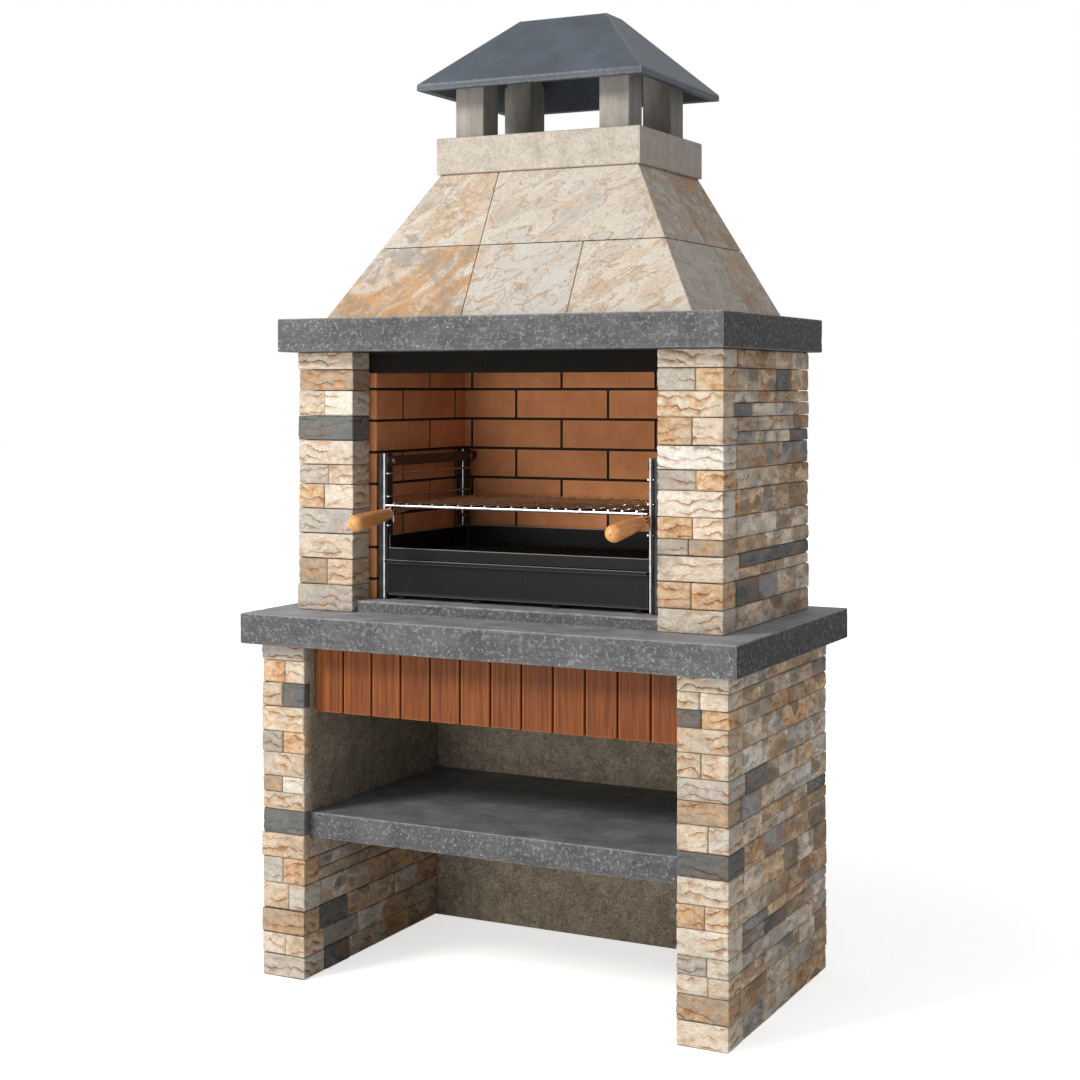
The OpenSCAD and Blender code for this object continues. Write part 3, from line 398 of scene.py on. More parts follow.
# On the sides the chisel left bowls the size of a thumb, each in its own part of the rock
wobble = add("TexNoise", coords, Scale=per_metre(14), Detail=3.0)
bent = add("VectorMath MULTIPLY_ADD", wobble.outputs["Color"], (14 * MM, 14 * MM, 14 * MM), drawn)
bowl = add("TexVoronoi", bent, voronoi_dimensions="4D", W=luck, Scale=per_metre(36),
           Randomness=0.9)
lot = add("SeparateColor", bowl.outputs["Color"])
bright = add("MapRange", lot, To_Min=0.74, To_Max=1.1)
faceted = add("MixRGB MULTIPLY", mixed, greyed, bright)
# Painted light on the bowls: their middles get a painted shade and the ridges between them a
# painted highlight
bowl_light_and_shade = add("ValToRGB", bowl.outputs["Distance"],
            stops=[(0.08, 0.74), (0.3, 0.92), (0.42, 1.1), (0.56, 1.5)])
faceted = add("MixRGB MULTIPLY", mixed, faceted, bowl_light_and_shade)
some = add("ValToRGB", lot.outputs[1], stops=[(0.64, 0.0), (0.82, 0.6)])
some = add("Math MULTIPLY", some, mixed)
warmed = add("MixRGB", some, faceted, "#b07c49")
few = add("ValToRGB", lot.outputs[2], stops=[(0.76, 0.0), (0.92, 0.6)])
few = add("Math MULTIPLY", few, mixed)
greyed = add("MixRGB", few, warmed, "#686866")
# Painted shade: the colour darkens where the face falls back and close to a joint, and lightens
# where it stands out
painted_hollow_shade = add("ValToRGB", relief_shade, stops=[(0.0, 0.62), (0.45, 0.96), (0.85, 1.08)])
shaded = add("MixRGB MULTIPLY", 1.0, greyed, painted_hollow_shade)
# Painted light on each ledge: a painted highlight on its lip, darker going down, and a dark brown
# painted shadow in the crack under the next lip
ledge_light_and_shade = add("ValToRGB", ledge, stops=[(0.0, 1.1), (0.2, 1.03), (0.62, 0.97), (0.8, 0.88),
                  (0.9, "#ab9376"), (0.95, "#ab9376"), (0.99, 1.1)])
ledge_shaded = add("MixRGB MULTIPLY", lip, shaded, ledge_light_and_shade)
# Thin curved marks of the break, darker on one side and paler on the other
level = add("Mapping", coords, Scale=(0.62, 0.36, 1.0))
mark, band = pattern(add, level, 13,
                     [(0.36, 1.1), (0.455, 1.0), (0.5, 0.72), (0.54, 1.0), (0.62, 1.08)],
                     noise_dimensions="4D", W=luck, Detail=6.0, Roughness=0.66, Distortion=2.0)
heavy = add("MapRange", mixed, To_Min=0.35, To_Max=0.95)
marked = add("MixRGB MULTIPLY", heavy, ledge_shaded, band)
# Grains of half a millimetre to two millimetres
_, colour = pattern(add, coords, 2.0, [(0.3, 0.84), (0.7, 1.12)], over=marked, Detail=3.0,
                    Roughness=0.6)
# The break goes on below the size of the net: small ledges, drawn as steps of a noise
small = add("Math MULTIPLY", mark, 7.0)
part = add("Math FRACT", small)
rise = add("MapRange", part, interpolation_type="SMOOTHSTEP", From_Min=0.6, From_Max=1.0)
whole = add("Math FLOOR", small)
steps = add("Math ADD", whole, rise)
chips = add("TexNoise", level, noise_dimensions="4D", W=luck, Scale=per_metre(6), Detail=5.0,
            Roughness=0.65, Distortion=0.8)
deep = add("Math MULTIPLY", bowl.outputs["Distance"], mixed)
surface(add, shader, colour, (mark, 0.72, 0.95),
        [(0.8, 9, deep), (0.75, 1.0, steps), (0.8, 2.4, chips)], IOR=1.54)

# %% [markdown]
# Where the stones lie comes from the CAD node: each loose part is one stone. From its
# corner points one can tell its courses, how far its face stands back, and whether it
# turns round a corner of the pillar. The face is then followed in plan from one end to
# the other, and every point on that path is repeated up the height of the stone.

# %% Shape of one split stone
STONE_DEPTH = 28 * MM
STEP = 3.6 * MM
ARRIS = 2.5 * MM
STAND_BACK = 4.5 * MM
LEDGE = 24 * MM
CRACK = 0.86
# Close to a joint the points stand closer together, over the last RIM millimetres
RIM = 4.2
JOINT_PLACES = [0.0, 0.9 * MM, 2.2 * MM, RIM * MM]
# The waves of a bed: size, waves per metre across and up, and a number that sets them apart
BED_WAVES = ((0.55, 14, 7, 0), (0.42, 41, 24, 17), (0.17, 118, 60, 29))
# A rounded corner stands back from the sharp one by this share of its radius
CORNER_CUT = 0.29
# How far the break may fall back and stand out, in millimetres
DEEPEST = -4.2
PROUDEST = 2.6


def spread(length, ends, step=STEP, least=1 * MM):
    """Places along a length: close together at both ends, then about a step apart. Of the
    ends, those are left out that come closer to the middle than least."""
    near = [e for e in ends if e < length / 2 - least]
    first = near[-1]
    count = max(1, round((length - 2 * first) / step))
    middle = [first + (length - 2 * first) * i / count for i in range(1, count)]
    return near + middle + [length - e for e in reversed(near)]


def drawn_in(distance, radius):
    """How far a rounded edge stands back at a distance from the joint."""
    if distance >= radius:
        return 0.0
    return radius - math.sqrt(radius ** 2 - (radius - distance) ** 2)


def plan_of_stone(points, outer, inner, front):
    """The corners of a stone's face in plan, from its left end to its right one, and the
    corners of its back. The pillar is a left one, with its outer face at x = outer."""
    low, high = points.min(0), points.max(0)
    if low[1] < front + STAND_BACK:
        back = low[1] - front
        face_y = low[1]
        deep = front + STONE_DEPTH
        ends = []
        # A stone that reaches further back than its depth turns round the pillar there
        for wall, skin, way, edge in ((outer, outer + back, 1, low[0]),
                                      (inner, inner, -1, high[0])):
            near = points[(points[:, 0] - wall) * way < back + 0.5 * MM, 1]
            if len(near) and near.max() > deep + 1 * MM:
                leg = near.max()
                core = wall + way * STONE_DEPTH
                ends.append(([(skin, leg), (skin, face_y)], [(core, leg), (core, deep)]))
            else:
                ends.append(([(edge, face_y)], [(edge, deep)]))
        face, rear = (ends[0][k] + ends[1][k][::-1] for k in (0, 1))
        return "front", face, rear
    if low[0] < outer + STAND_BACK:
        return ("outer", [(low[0], high[1]), (low[0], low[1])],
                [(outer + STONE_DEPTH, high[1]), (outer + STONE_DEPTH, low[1])])
    return ("inner", [(high[0], low[1]), (high[0], high[1])],
            [(inner - STONE_DEPTH, low[1]), (inner - STONE_DEPTH, high[1])])


def face_path(face):
    """Points along the face in plan, with the way out at each, the distance run, and the
    distance to the nearer end."""
    legs = []
    run = 0.0
    for a, b in zip(face, face[1:]):
        way = Vector(b) - Vector(a)
        length = way.length
        way.normalize()
        out = Vector((way.y, -way.x))
        legs.append((Vector(a), way, out, length, run))
        run += length
    path = []
    for i, (a, way, out, length, start) in enumerate(legs):
        for d in spread(length, JOINT_PLACES):
            at_start, at_end = d < 1e-7, d > length - 1e-7
            if at_start and i > 0:
                continue
            normal = out
            place = a + way * d
            if at_end and i + 1 < len(legs):
                normal = (out + legs[i + 1][2]).normalized()
                place = place - (out + legs[i + 1][2]) * ARRIS * CORNER_CUT
            else:
                turn = min(d if i > 0 else 1.0, length - d if i + 1 < len(legs) else 1.0)
                place = place - out * drawn_in(turn + ARRIS * CORNER_CUT, ARRIS)
            path.append((place, normal, start + d))
    return [(p, n, s, min(s, run - s)) for p, n, s in path]


def broken_face(s, level, here, on_front):
    """How far out a broken face stands, in millimetres, the place in its ledge, and how
    strong that ledge is. Rock splits in ledges: going down, the face comes out slowly to a
    lip, then falls back at once. On the sides the chisel also left upright scallops."""
    wander = sum(size * noise.noise(Vector((s * across, level * up, here + apart)))
                 for size, across, up, apart in BED_WAVES)
    # The bedding lies a little askew, in another way in each stone
    slope = 13.0 * (here % 1.0 - 0.5)
    bed = level / (LEDGE if on_front else 1.3 * LEDGE) + wander + slope * s + here
    part = bed - math.floor(bed)
    if part < CRACK:
        out = 1 - part / CRACK
    else:
        rise = (part - CRACK) / (1 - CRACK)
        out = rise * rise * (3 - 2 * rise)
    strong = 0.5 + 1.3 * noise.noise(Vector((s * 20 + 5, level * 26, here + 40)))
    strong = min(1.0, max(0.0, strong)) * (1.0 if on_front else 0.6)
    bend = noise.noise(Vector((s * 40, level * 30, here + 3)))
    if on_front:
        at = Vector((s * 62, (level + 0.5 * s) * 105, here + 7))
        chip = 1.2 * noise.fractal(at, 0.8, 2.1, 3)
    else:
        at = Vector((s * 80 + bend, level * 34, here + 7))
        chip = 1.5 * noise.fractal(at, 0.8, 2.1, 3)
    return 3.6 * strong * (out - 0.45) + chip, bed, strong


def split_stone(points, outer, inner, front, luck):
    """Points, faces and layers of one stone, and its side of the pillar."""
    side, face, rear = plan_of_stone(points, outer, inner, front)
    low, high = points[:, 2].min(), points[:, 2].max()
    path = face_path(face)
    levels = spread(high - low, JOINT_PLACES)
    radius = (3.0 + 1.4 * luck) * MM
    here = 10.0 * luck
    verts, relief_shade, beds, lips = [], [], [], []
    for place, out, s, to_end in path:
        for level in levels:
            to_bed = min(level, high - low - level)
            amount, bed, strong = broken_face(s, level, here, side == "front")
            amount = max(DEEPEST, min(PROUDEST, amount))
            # Close to a joint the face falls away and its relief dies out
            rim = min(1.0, min(to_end, to_bed) / (RIM * MM))
            push = amount * MM * (0.3 + 0.7 * rim)
            rounding = drawn_in(to_end, radius) + drawn_in(to_bed, radius)
            push = min(push, 0.6 * MM) if rim < 0.3 else push
            spot = place + out * (push - min(rounding, 1.3 * radius))
            verts.append((spot.x, spot.y, low + level))
            # A painted shade for the colour: lower where the face falls back, and lower close to a
            # joint
            relief_shade.append(0.55 + amount / 8.0 - 0.1 * (1 - rim))
            beds.append(bed)
            lips.append(strong * rim)
    first = len(verts)
    for x, y in rear:
        verts += [(x, y, low), (x, y, high)]
    last = len(verts)
    faces = closed_net(0, len(path), len(levels), list(range(first, last, 2)),
                       list(range(first + 1, last, 2)))
    blank = [0.0] * (last - first)
    return side, verts, faces, (relief_shade + blank, beds + blank, lips + blank)

# %% [markdown]
# A mason picks the stones by eye. On the front faces the order of tones below follows
# the barbecue, course by course from the top, and the sides are drawn by lot from the
# same pallet. The last channel says how strongly rust stains the stone.

# %% Tones of the stones and the four facings
TONES = {
    "c": ("#e1d7c8", 0.3),
    "C": ("#e9e3d9", 0.05),
    "o": ("#e0caad", 0.85),
    "m": ("#dcd1bf", 0.55),
    "g": ("#c2bdb4", 0.0),
    "G": ("#9d9b99", -0.3),
    "d": ("#6c6e6e", -0.6),
    "x": ("#b5a896", 0.65),
}
FRONT_TONES = {
    "upper_left": "c x mC d c gm oc g c xm g",
    "upper_right": "c go m oc C go C oc gx c oo c",
    "lower_left": "g oc md m go m xC m d m go mg x cm g",
    "lower_right": "c cc do m mm g x mc d c om c gc cm x c",
}
SIDE_LOT = "ccccCCmmmmooooggGGdddxxx"


def pillar_facing(name, outer, inner, front, seed, damp_and_inner_shade=1.0):
    """Every stone of one facing, as a single piece. The last argument darkens the stones that face
    inward, as a painted shade under the worktop.
    """
    dice = random.Random(seed)
    mirror = -1.0 if "right" in name else 1.0
    points, faces = [], []
    layers = {layer: [] for layer in ("tone", "luck", "mixed", "relief_shade", "bed", "lip")}
    stones = [part * (mirror, 1, 1) for part in loose_parts(name + "_stones")]
    stones.sort(key=lambda p: (round(-p[:, 2].max(), 4), round(p[:, 0].min(), 4),
                               round(p[:, 1].min(), 4)))
    courses = FRONT_TONES[name].split()
    fronts = {}
    for part in stones:
        if part[:, 1].min() < front + STAND_BACK:
            fronts.setdefault(round(part[:, 2].max(), 4), []).append(part)
    order = {}
    for key, level in zip(courses, sorted(fronts, reverse=True)):
        row = sorted(fronts[level], key=lambda p: p[:, 0].min() * mirror)
        for letter, part in zip(key, row):
            order[id(part)] = letter
    for part in stones:
        luck = dice.random()
        side, verts, polys, (relief_shade, beds, lips) = split_stone(part, outer, inner, front, luck)
        letter = order.get(id(part)) or dice.choice(SIDE_LOT)
        colour, rust = TONES[letter]
        # Stones that face inward are darkened by the last argument: a painted shade
        shift = (1.0 + 0.24 * (dice.random() - 0.5)) * (damp_and_inner_shade if side == "inner" else 1.0)
        warm = 1.0 + 0.05 * (dice.random() - 0.5)
        red, green, blue, _ = linear(colour)
        tone = (red * shift * warm, green * shift, blue * shift / warm, rust)
        start = len(points)
        points += [(x * mirror, y, z) for x, y, z in verts]
        faces += [tuple(start + v for v in poly) for poly in polys]
        layers["tone"] += [tone] * len(verts)
        layers["luck"] += [20.0 * luck] * len(verts)
        layers["mixed"] += [0.2 if side == "front" else 0.8] * len(verts)
        layers["relief_shade"] += relief_shade
        layers["bed"] += beds
        layers["lip"] += lips
    place_piece(name + "_split_stone", points, faces, stone_material, "split_stone",
                [name + "_stones"], sharp=60.0, **layers)
    print(len(stones), "stones,", len(order), "of them on the front")


# The inner stones of the lower pillars, under the worktop, get a painted shade
LOWER = dict(outer=-592 * MM, inner=-472 * MM, front=-333 * MM, damp_and_inner_shade=0.62)
UPPER = dict(outer=-547 * MM, inner=-392 * MM, front=-248 * MM)
pillar_facing("lower_left", seed=11, **LOWER)
pillar_facing("lower_right", seed=12, **LOWER)
pillar_facing("upper_left", seed=13, **UPPER)
pillar_facing("upper_right", seed=14, **UPPER)

# %% [markdown]
# Many solids have the right form but knife-sharp edges, which nothing real has. A copy
# of the CAD mesh is joined up, its flat faces are made whole again, and every sharp edge
# is bevelled. Light then finds the edge and draws it as a thin line.

# %% Copy a CAD solid with soft edges
def softened(name, nodes, material, slot, body="masonry", bevel=1.0, segments=2, sharp=30.0,
             least=25.0, rim=3.0, seed=1):
    """A bevelled copy of one or more CAD nodes. bevel is in millimetres, and so is rim, the
    width of the edge strip that the edge layer marks, for worn edges and painted edge
    highlights. Each loose part gets its own luck."""
    shape = bmesh.new()
    for node in nodes:
        shape.from_mesh(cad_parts[node].data)
    bmesh.ops.remove_doubles(shape, verts=shape.verts, dist=WELD)
    bmesh.ops.dissolve_limit(shape, angle_limit=math.radians(0.5), verts=shape.verts,
                             edges=shape.edges)
    edges = [e for e in shape.edges if len(e.link_faces) == 2
             and e.calc_face_angle(0.0) > math.radians(least)]
    bmesh.ops.bevel(shape, geom=edges, offset=bevel * MM, segments=segments, profile=0.5,
                    affect="EDGES", clamp_overlap=True)
    bmesh.ops.recalc_face_normals(shape, faces=shape.faces)
    wear_layer = shape.verts.layers.float.new("wear")
    luck_layer = shape.verts.layers.float.new("luck")
    for point in shape.verts:
        point[wear_layer] = 1.0
    broad = [f for f in shape.faces
             if min(e.calc_length() for e in f.edges) > 3 * rim * MM or len(f.verts) > 8]
    old = set(shape.verts)
    if rim:
        bmesh.ops.inset_individual(shape, faces=broad, thickness=rim * MM)
    for point in shape.verts:
        if point not in old:
            point[wear_layer] = 0.0
    dice = random.Random(seed)
    for group in islands(shape):
        value = dice.random()
        for point in group:
            point[luck_layer] = value
    finish_piece(name, bpy.data.meshes.new(name), shape, material, slot, nodes, body, sharp)

# %% [markdown]
# The worktop, shelf, hearth and mantel are cast in charcoal-grey concrete. The mould
# leaves it smooth, with small bubbles, pale flecks of sand and fine scratches of the
# trowel. Outer edges are pale, partly from wear and partly as a painted highlight.

# %% Material: charcoal cast concrete
slab_material, add, shader, coords = new_material("charcoal_cast_concrete")
# Clouds a hand's width across, where the mix dried at a different pace
cloud, ground = pattern(add, coords, 70, [(0.28, "#44464a"), (0.5, "#55575b"), (0.72, "#67686c")],
                        Detail=6.0, Roughness=0.62)
# Brushing along the slab: very long, thin streaks
long_way = add("Mapping", coords, Scale=(0.03, 1.0, 1.0))
streak, body_tone = pattern(add, long_way, 4.5, [(0.35, 0.86), (0.65, 1.12)], over=ground,
                            Detail=4.0)
# Hair-thin pale scratches: level lines of a twisted noise, cut short by a second one
twist = add("TexNoise", coords, Scale=per_metre(13), Detail=3.0, Distortion=2.6)
line = contour(add, twist, 0.5, [(0.008, 1.0), (0.03, 0.0)])
_, short = pattern(add, coords, 9, [(0.5, 0.0), (0.58, 1.0)], Detail=3.0)
scratch = add("Math MULTIPLY", line, short)
# Grains of pale sand, one to three millimetres
sand = add("TexVoronoi", coords, Scale=per_metre(7), Randomness=1.0)
dots = add("ValToRGB", sand.outputs["Distance"], stops=[(0.10, 1.0), (0.18, 0.0)])
_, rare = pattern(add, coords, 24, [(0.48, 0.0), (0.58, 1.0)], Detail=1.0)
fleck = add("Math MULTIPLY", dots, rare)
pale = add("Math MAXIMUM", scratch, fleck)
# The brush has taken most of them off the flat top
facing = add("SeparateXYZ", add("TexCoord").outputs["Normal"]).outputs
upward = add("MapRange", facing["Z"], From_Min=0.4, From_Max=0.9, To_Min=0.8, To_Max=0.4)
pale = add("Math MULTIPLY", pale, upward)
# Painted light and shade: faces that look up are lightened, more on the worktop than lower down,
# and the end faces are darkened
height = add("SeparateXYZ", coords).outputs["Z"]
top_light_by_height = add("MapRange", height, From_Min=0.5, From_Max=0.85, To_Min=1.9, To_Max=3.0)
painted_top_light = add("MapRange", facing["Z"], From_Min=0.5, From_Max=0.9, To_Min=1.0, To_Max=top_light_by_height)
ends = add("Math ABSOLUTE", facing["X"])
ends = add("MapRange", ends, From_Min=0.6, From_Max=0.95, To_Min=1.0, To_Max=0.36)
painted_top_and_end_light = add("Math MULTIPLY", painted_top_light, ends)
body_tone = add("MixRGB MULTIPLY", 1.0, body_tone, painted_top_and_end_light)
flecked = add("MixRGB", pale, body_tone, "#bcbbb8")
grit, gritty = pattern(add, coords, 1.8, [(0.3, 0.78), (0.7, 1.2)], over=flecked, Detail=3.0,
                       Roughness=0.7)
# Pale outer edges, broken up by a noise: partly wear, partly a painted highlight
edge_share = add("TexNoise", coords, Scale=per_metre(15), Detail=4.0)
rubbed = add("MapRange", edge_share, From_Min=0.3, From_Max=0.65)
colour = worn_and_lit_edges(add, gritty, "#a9aaab", rubbed, 0.75)
surface(add, shader, colour, (cloud, 0.5, 0.8), [(0.45, 0.6, grit), (0.35, 0.5, streak)], IOR=1.5,
        Specular_IOR_Level=0.3)

# %% [markdown]
# A slab is a box whose edges the mould rounded and years of use chipped. Each of its six
# sides is a net of points, close together at the edges. A point near an edge is pulled
# onto a small arc, and a noise bites a little more off here and there.

# %% Shape of a cast slab
def worn_block(low, high, radius, bite, along, seed, hole=None):
    """Points, faces and edge layer of a rounded block, for worn edges and a painted edge
    highlight. hole is a box cut through from top to bottom, as (x0, y0, x1, y1)."""
    ends = [0.0, 0.35 * radius, 0.7 * radius, radius, 2.2 * radius, 5 * radius]
    axes = [[low[k] + place for place in spread(high[k] - low[k], ends, along, 0.5 * MM)]
            for k in range(3)]
    if hole:
        for k in (0, 1):
            inside = [v for v in axes[k] if min(abs(v - hole[k]), abs(v - hole[k + 2])) > 4 * MM]
            axes[k] = sorted(inside + [hole[k], hole[k + 2]])
    points, faces = [], []
    for k in range(3):
        u, v = (k + 1) % 3, (k + 2) % 3
        for end in (low[k], high[k]):
            start = len(points)
            for a in axes[u]:
                for b in axes[v]:
                    spot = [0.0, 0.0, 0.0]
                    spot[k], spot[u], spot[v] = end, a, b
                    points.append(spot)
            for face in net(start, len(axes[u]), len(axes[v])):
                x, y = ((points[face[0]][t] + points[face[2]][t]) / 2 for t in (0, 1))
                if not (k == 2 and hole and hole[0] < x < hole[2] and hole[1] < y < hole[3]):
                    faces.append(face)
    if hole:
        rim = [(x, hole[1]) for x in axes[0] if hole[0] <= x <= hole[2]]
        rim += [(hole[2], y) for y in axes[1] if hole[1] < y <= hole[3]]
        rim += [(x, hole[3]) for x in reversed(axes[0]) if hole[0] <= x < hole[2]]
        rim += [(hole[0], y) for y in reversed(axes[1]) if hole[1] < y < hole[3]]
        start = len(points)
        for x, y in rim:
            points += [[x, y, low[2]], [x, y, high[2]]]
        for i in range(len(rim)):
            j = (i + 1) % len(rim)
            faces.append((start + 2 * i, start + 2 * j, start + 2 * j + 1, start + 2 * i + 1))
    spots = np.array(points, float)
    low, high = np.array(low, float), np.array(high, float)
    core = np.clip(spots, low + radius, high - radius)
    arm = spots - core
    length = np.linalg.norm(arm, axis=1)
    turned = (np.abs(arm) > 1e-9).sum(1)
    wear = np.zeros(len(spots))
    for i in range(len(spots)):
        if length[i] < 1e-9:
            continue
        way = arm[i] / length[i]
        reach = radius
        to_edge = sorted(np.minimum(spots[i] - low, high - spots[i]))[1]
        if bite and to_edge < 5 * radius:
            at = Vector(spots[i]) * per_metre(16) + Vector((seed, 0, 0))
            chip = max(0.0, noise.fractal(at, 0.8, 2.0, 3) - 0.15)
            reach -= bite * chip * max(0.0, 1 - to_edge / (2.5 * radius))
        if turned[i] > 1 or reach < radius:
            spots[i] = core[i] + way * reach
        wear[i] = max(0.0, 1 - to_edge / radius)
    return [tuple(p) for p in spots], faces, wear


def cast_slab(name, node, seed, bite=2.2, radius=4.0, hole=None):
    low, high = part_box(node)
    points, faces, wear = worn_block(low, high, radius * MM, bite * MM, 9 * MM, seed, hole)
    place_piece(name, points, faces, slab_material, "cast_slab", [node], wear=wear)


cast_slab("worktop_cast", "worktop_slab", 3)
cast_slab("shelf_cast", "shelf_slab", 5)
THROAT = (-350 * MM, -140.5 * MM, 350 * MM, 239.5 * MM)
cast_slab("mantel_cast", "mantel_slab", 7, hole=THROAT)
softened("hearth_cast", ["hearth_slab"], slab_material, "cast_slab", bevel=2.0)

# %% [markdown]
# Behind the stones stands a cast core, and a thinner panel closes the back. Both are
# rendered with grey-brown mortar, rubbed with a board, so the face is grainy and cloudy,
# with faint lines where one lift of mortar met the next. It shows above the shelf, on
# the back, and under the chimney cap.

# %% Material: rubbed grey render
render_material, add, shader, coords = new_material("rubbed_grey_render")
_, ground = pattern(add, coords, 45, [(0.3, "#847a6b"), (0.5, "#9d9282"), (0.7, "#b1a694")],
                    Detail=7.0, Roughness=0.68, Distortion=0.6)
swirl, rubs = pattern(add, coords, 11, [(0.36, 0.78), (0.5, 1.0), (0.66, 1.14)], Detail=5.0,
                      Roughness=0.6, Distortion=2.2)
hatch, nicks = pattern(add, coords, 15, [(0.36, 0.42), (0.45, 0.92), (0.55, 1.04), (0.64, 1.6)],
                       Detail=4.0, Roughness=0.7, Distortion=3.0)
rubbed = add("MixRGB MULTIPLY", 1.0, ground, rubs)
rubbed = add("MixRGB MULTIPLY", 1.0, rubbed, nicks)
# One lift of mortar is about 110 mm high
height = add("SeparateXYZ", coords).outputs["Z"]
sway = add("Math MULTIPLY_ADD", swirl, 6 * MM, height)
fold = add("Math PINGPONG", sway, 55 * MM)
lift = add("MapRange", fold, From_Max=2.5 * MM, To_Min=0.8, To_Max=1.0)
lined = add("MixRGB MULTIPLY", 0.6, rubbed, lift)
sand, colour = pattern(add, coords, 2.0, [(0.3, 0.8), (0.7, 1.18)], over=lined, Detail=3.0,
                       Roughness=0.7)
surface(add, shader, colour, (swirl, 0.8, 0.98), [(0.7, 1.8, hatch), (0.6, 0.8, sand)], IOR=1.5)

# %% Cores and back panel
for node in ("lower_left_core", "lower_right_core", "upper_left_core", "upper_right_core",
             "upper_back_core", "lower_back_panel"):
    softened(node + "_rendered", [node], render_material, "render", bevel=1.5)

# %% [markdown]
# The fire chamber is lined with pressed firebricks, laid with dark fireproof mortar that
# was raked out. Fireclay is orange-brown with fine darker grog, and each brick came out
# of the kiln a little different, so every loose part carries its own number by lot.

# %% Material: firebrick and its mortar
CHAMBER_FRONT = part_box("firebrick_left")[0][1]
CHAMBER_X = -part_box("firebrick_left")[1][0] - 0.5 * MM
print("chamber: front", round(CHAMBER_FRONT, 3), "half width", round(CHAMBER_X, 3))
brick_material, add, shader, coords = new_material("pressed_firebrick")
luck, own = own_place(add, coords, (7.0, 3.0, 5.0))
_, ground = pattern(add, own, 60, [(0.3, "#cc8455"), (0.5, "#d8905f"), (0.7, "#e19b6a")],
                    Detail=5.0, Roughness=0.6)
kiln = add("MapRange", luck, To_Min=0.93, To_Max=1.07)
fired = add("MixRGB MULTIPLY", 1.0, ground, kiln)
grog, brick = pattern(add, own, 2.4, [(0.32, 0.8), (0.5, 1.0), (0.7, 1.12)], over=fired,
                      Detail=3.0, Roughness=0.65)
# Painted highlight: the bevelled edges of each brick are lightened
rubbed = worn_and_lit_edges(add, brick, "#e0a074", 0.35)
# Painted shade in the joints: the flanks inside them are darkened, but not the front ends
turn = add("SeparateXYZ", add("TexCoord").outputs["Normal"]).outputs
spot = add("SeparateXYZ", coords).outputs
by_side = add("Math ABSOLUTE", spot["X"])
by_side = add("Math GREATER_THAN", by_side, CHAMBER_X)
flat = add("MixRGB", by_side, turn["Y"], turn["X"])
flat = add("Math ABSOLUTE", flat)
flank = add("Math LESS_THAN", flat, 0.5)
deeper = add("Math GREATER_THAN", spot["Y"], CHAMBER_FRONT + 8 * MM)
painted_joint_shade = add("Math MULTIPLY", flank, deeper)
painted_joint_shade = add("Math MULTIPLY", painted_joint_shade, 0.85)
colour = add("MixRGB", painted_joint_shade, rubbed, "#2c1f17")
surface(add, shader, colour, (grog, 0.72, 0.92), [(0.5, 0.6, grog)], IOR=1.5)

mortar_material, add, shader, coords = new_material("raked_fire_mortar")
sand, soot = pattern(add, coords, 3, [(0.3, "#17110d"), (0.7, "#33261d")], Detail=4.0,
                     Roughness=0.7)
gritty = add("Bump", Strength=0.7, Distance=1.0 * MM, Height=sand)
settle(shader, Base_Color=soot, Normal=gritty, Roughness=0.95)


def dress(node, material):
    """A CAD node whose shape is right keeps it and gets a material."""
    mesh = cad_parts[node].data
    mesh.materials.clear()
    mesh.materials.append(material)


for number, wall in enumerate(("left", "right", "back")):
    softened("firebricks_" + wall, ["firebrick_" + wall], brick_material, "firebrick",
             bevel=1.6, rim=2.5, seed=30 + number)
dress("fire_mortar", mortar_material)

# %% [markdown]
# The hood is faced with sawn and brushed quartzite tiles. Veins of iron and slate run
# across each tile at about forty degrees, in another place on each one, since they were
# cut from different blocks. The faces are a net of points again, with a slight wave and
# eased edges, laid between the corners of the CAD tile.

# %% Material: veined quartzite tile
tile_material, add, shader, coords = new_material("brushed_quartzite_tile")
_, own = own_place(add, coords, (3.1, 1.7, 2.3))
rusty = add("Attribute", attribute_name="rust")
# The bedding dips to the left, and is stretched three to one along itself
turned = add("Mapping", own, Rotation=(0.0, math.radians(31), 0.0))
laid = add("Mapping", turned, Scale=(0.42, 0.6, 1.0))
bed, ground = pattern(add, laid, 48,
                      [(0.28, "#9e9a94"), (0.42, "#c0bab1"), (0.52, "#cec8be"), (0.7, "#c6bba9")],
                      Detail=7.0, Roughness=0.62, Distortion=0.9)
cool = add("MapRange", rusty, From_Max=0.15, To_Min=0.75, To_Max=0.0)
ground = add("MixRGB", cool, ground, "#c1beb9")
stain = add("TexNoise", laid, Scale=per_metre(85), Detail=6.0, Roughness=0.66, Distortion=1.4)
spread_of = add("Math MULTIPLY_ADD", rusty, 0.22, stain)
iron = add("ValToRGB", spread_of, stops=[(0.55, 0.0), (0.8, 0.9)])
ochre = add("MixRGB", iron, ground, "#bb8a55")
# Slate-grey clots beside the iron
clot = add("TexNoise", own, Scale=per_metre(52), Detail=5.0, Roughness=0.6, Distortion=1.2)
clots = add("MapRange", rusty, From_Max=0.9, To_Min=0.0, To_Max=0.14)
clots = add("Math ADD", clots, clot)
slate = add("ValToRGB", clots, stops=[(0.62, 0.0), (0.7, 0.6)])
ochre = add("MixRGB", slate, ochre, "#85817b")
# Thin ochre veins, where a crack let water through
vein = contour(add, bed, 0.47, [(0.0, 0.8), (0.007, 0.6), (0.023, 0.0)])
veined = add("MixRGB", vein, ochre, "#a5804c")
seam = contour(add, stain, 0.52, [(0.0, 0.65), (0.012, 0.0)])
veined = add("MixRGB", seam, veined, "#ab8450")
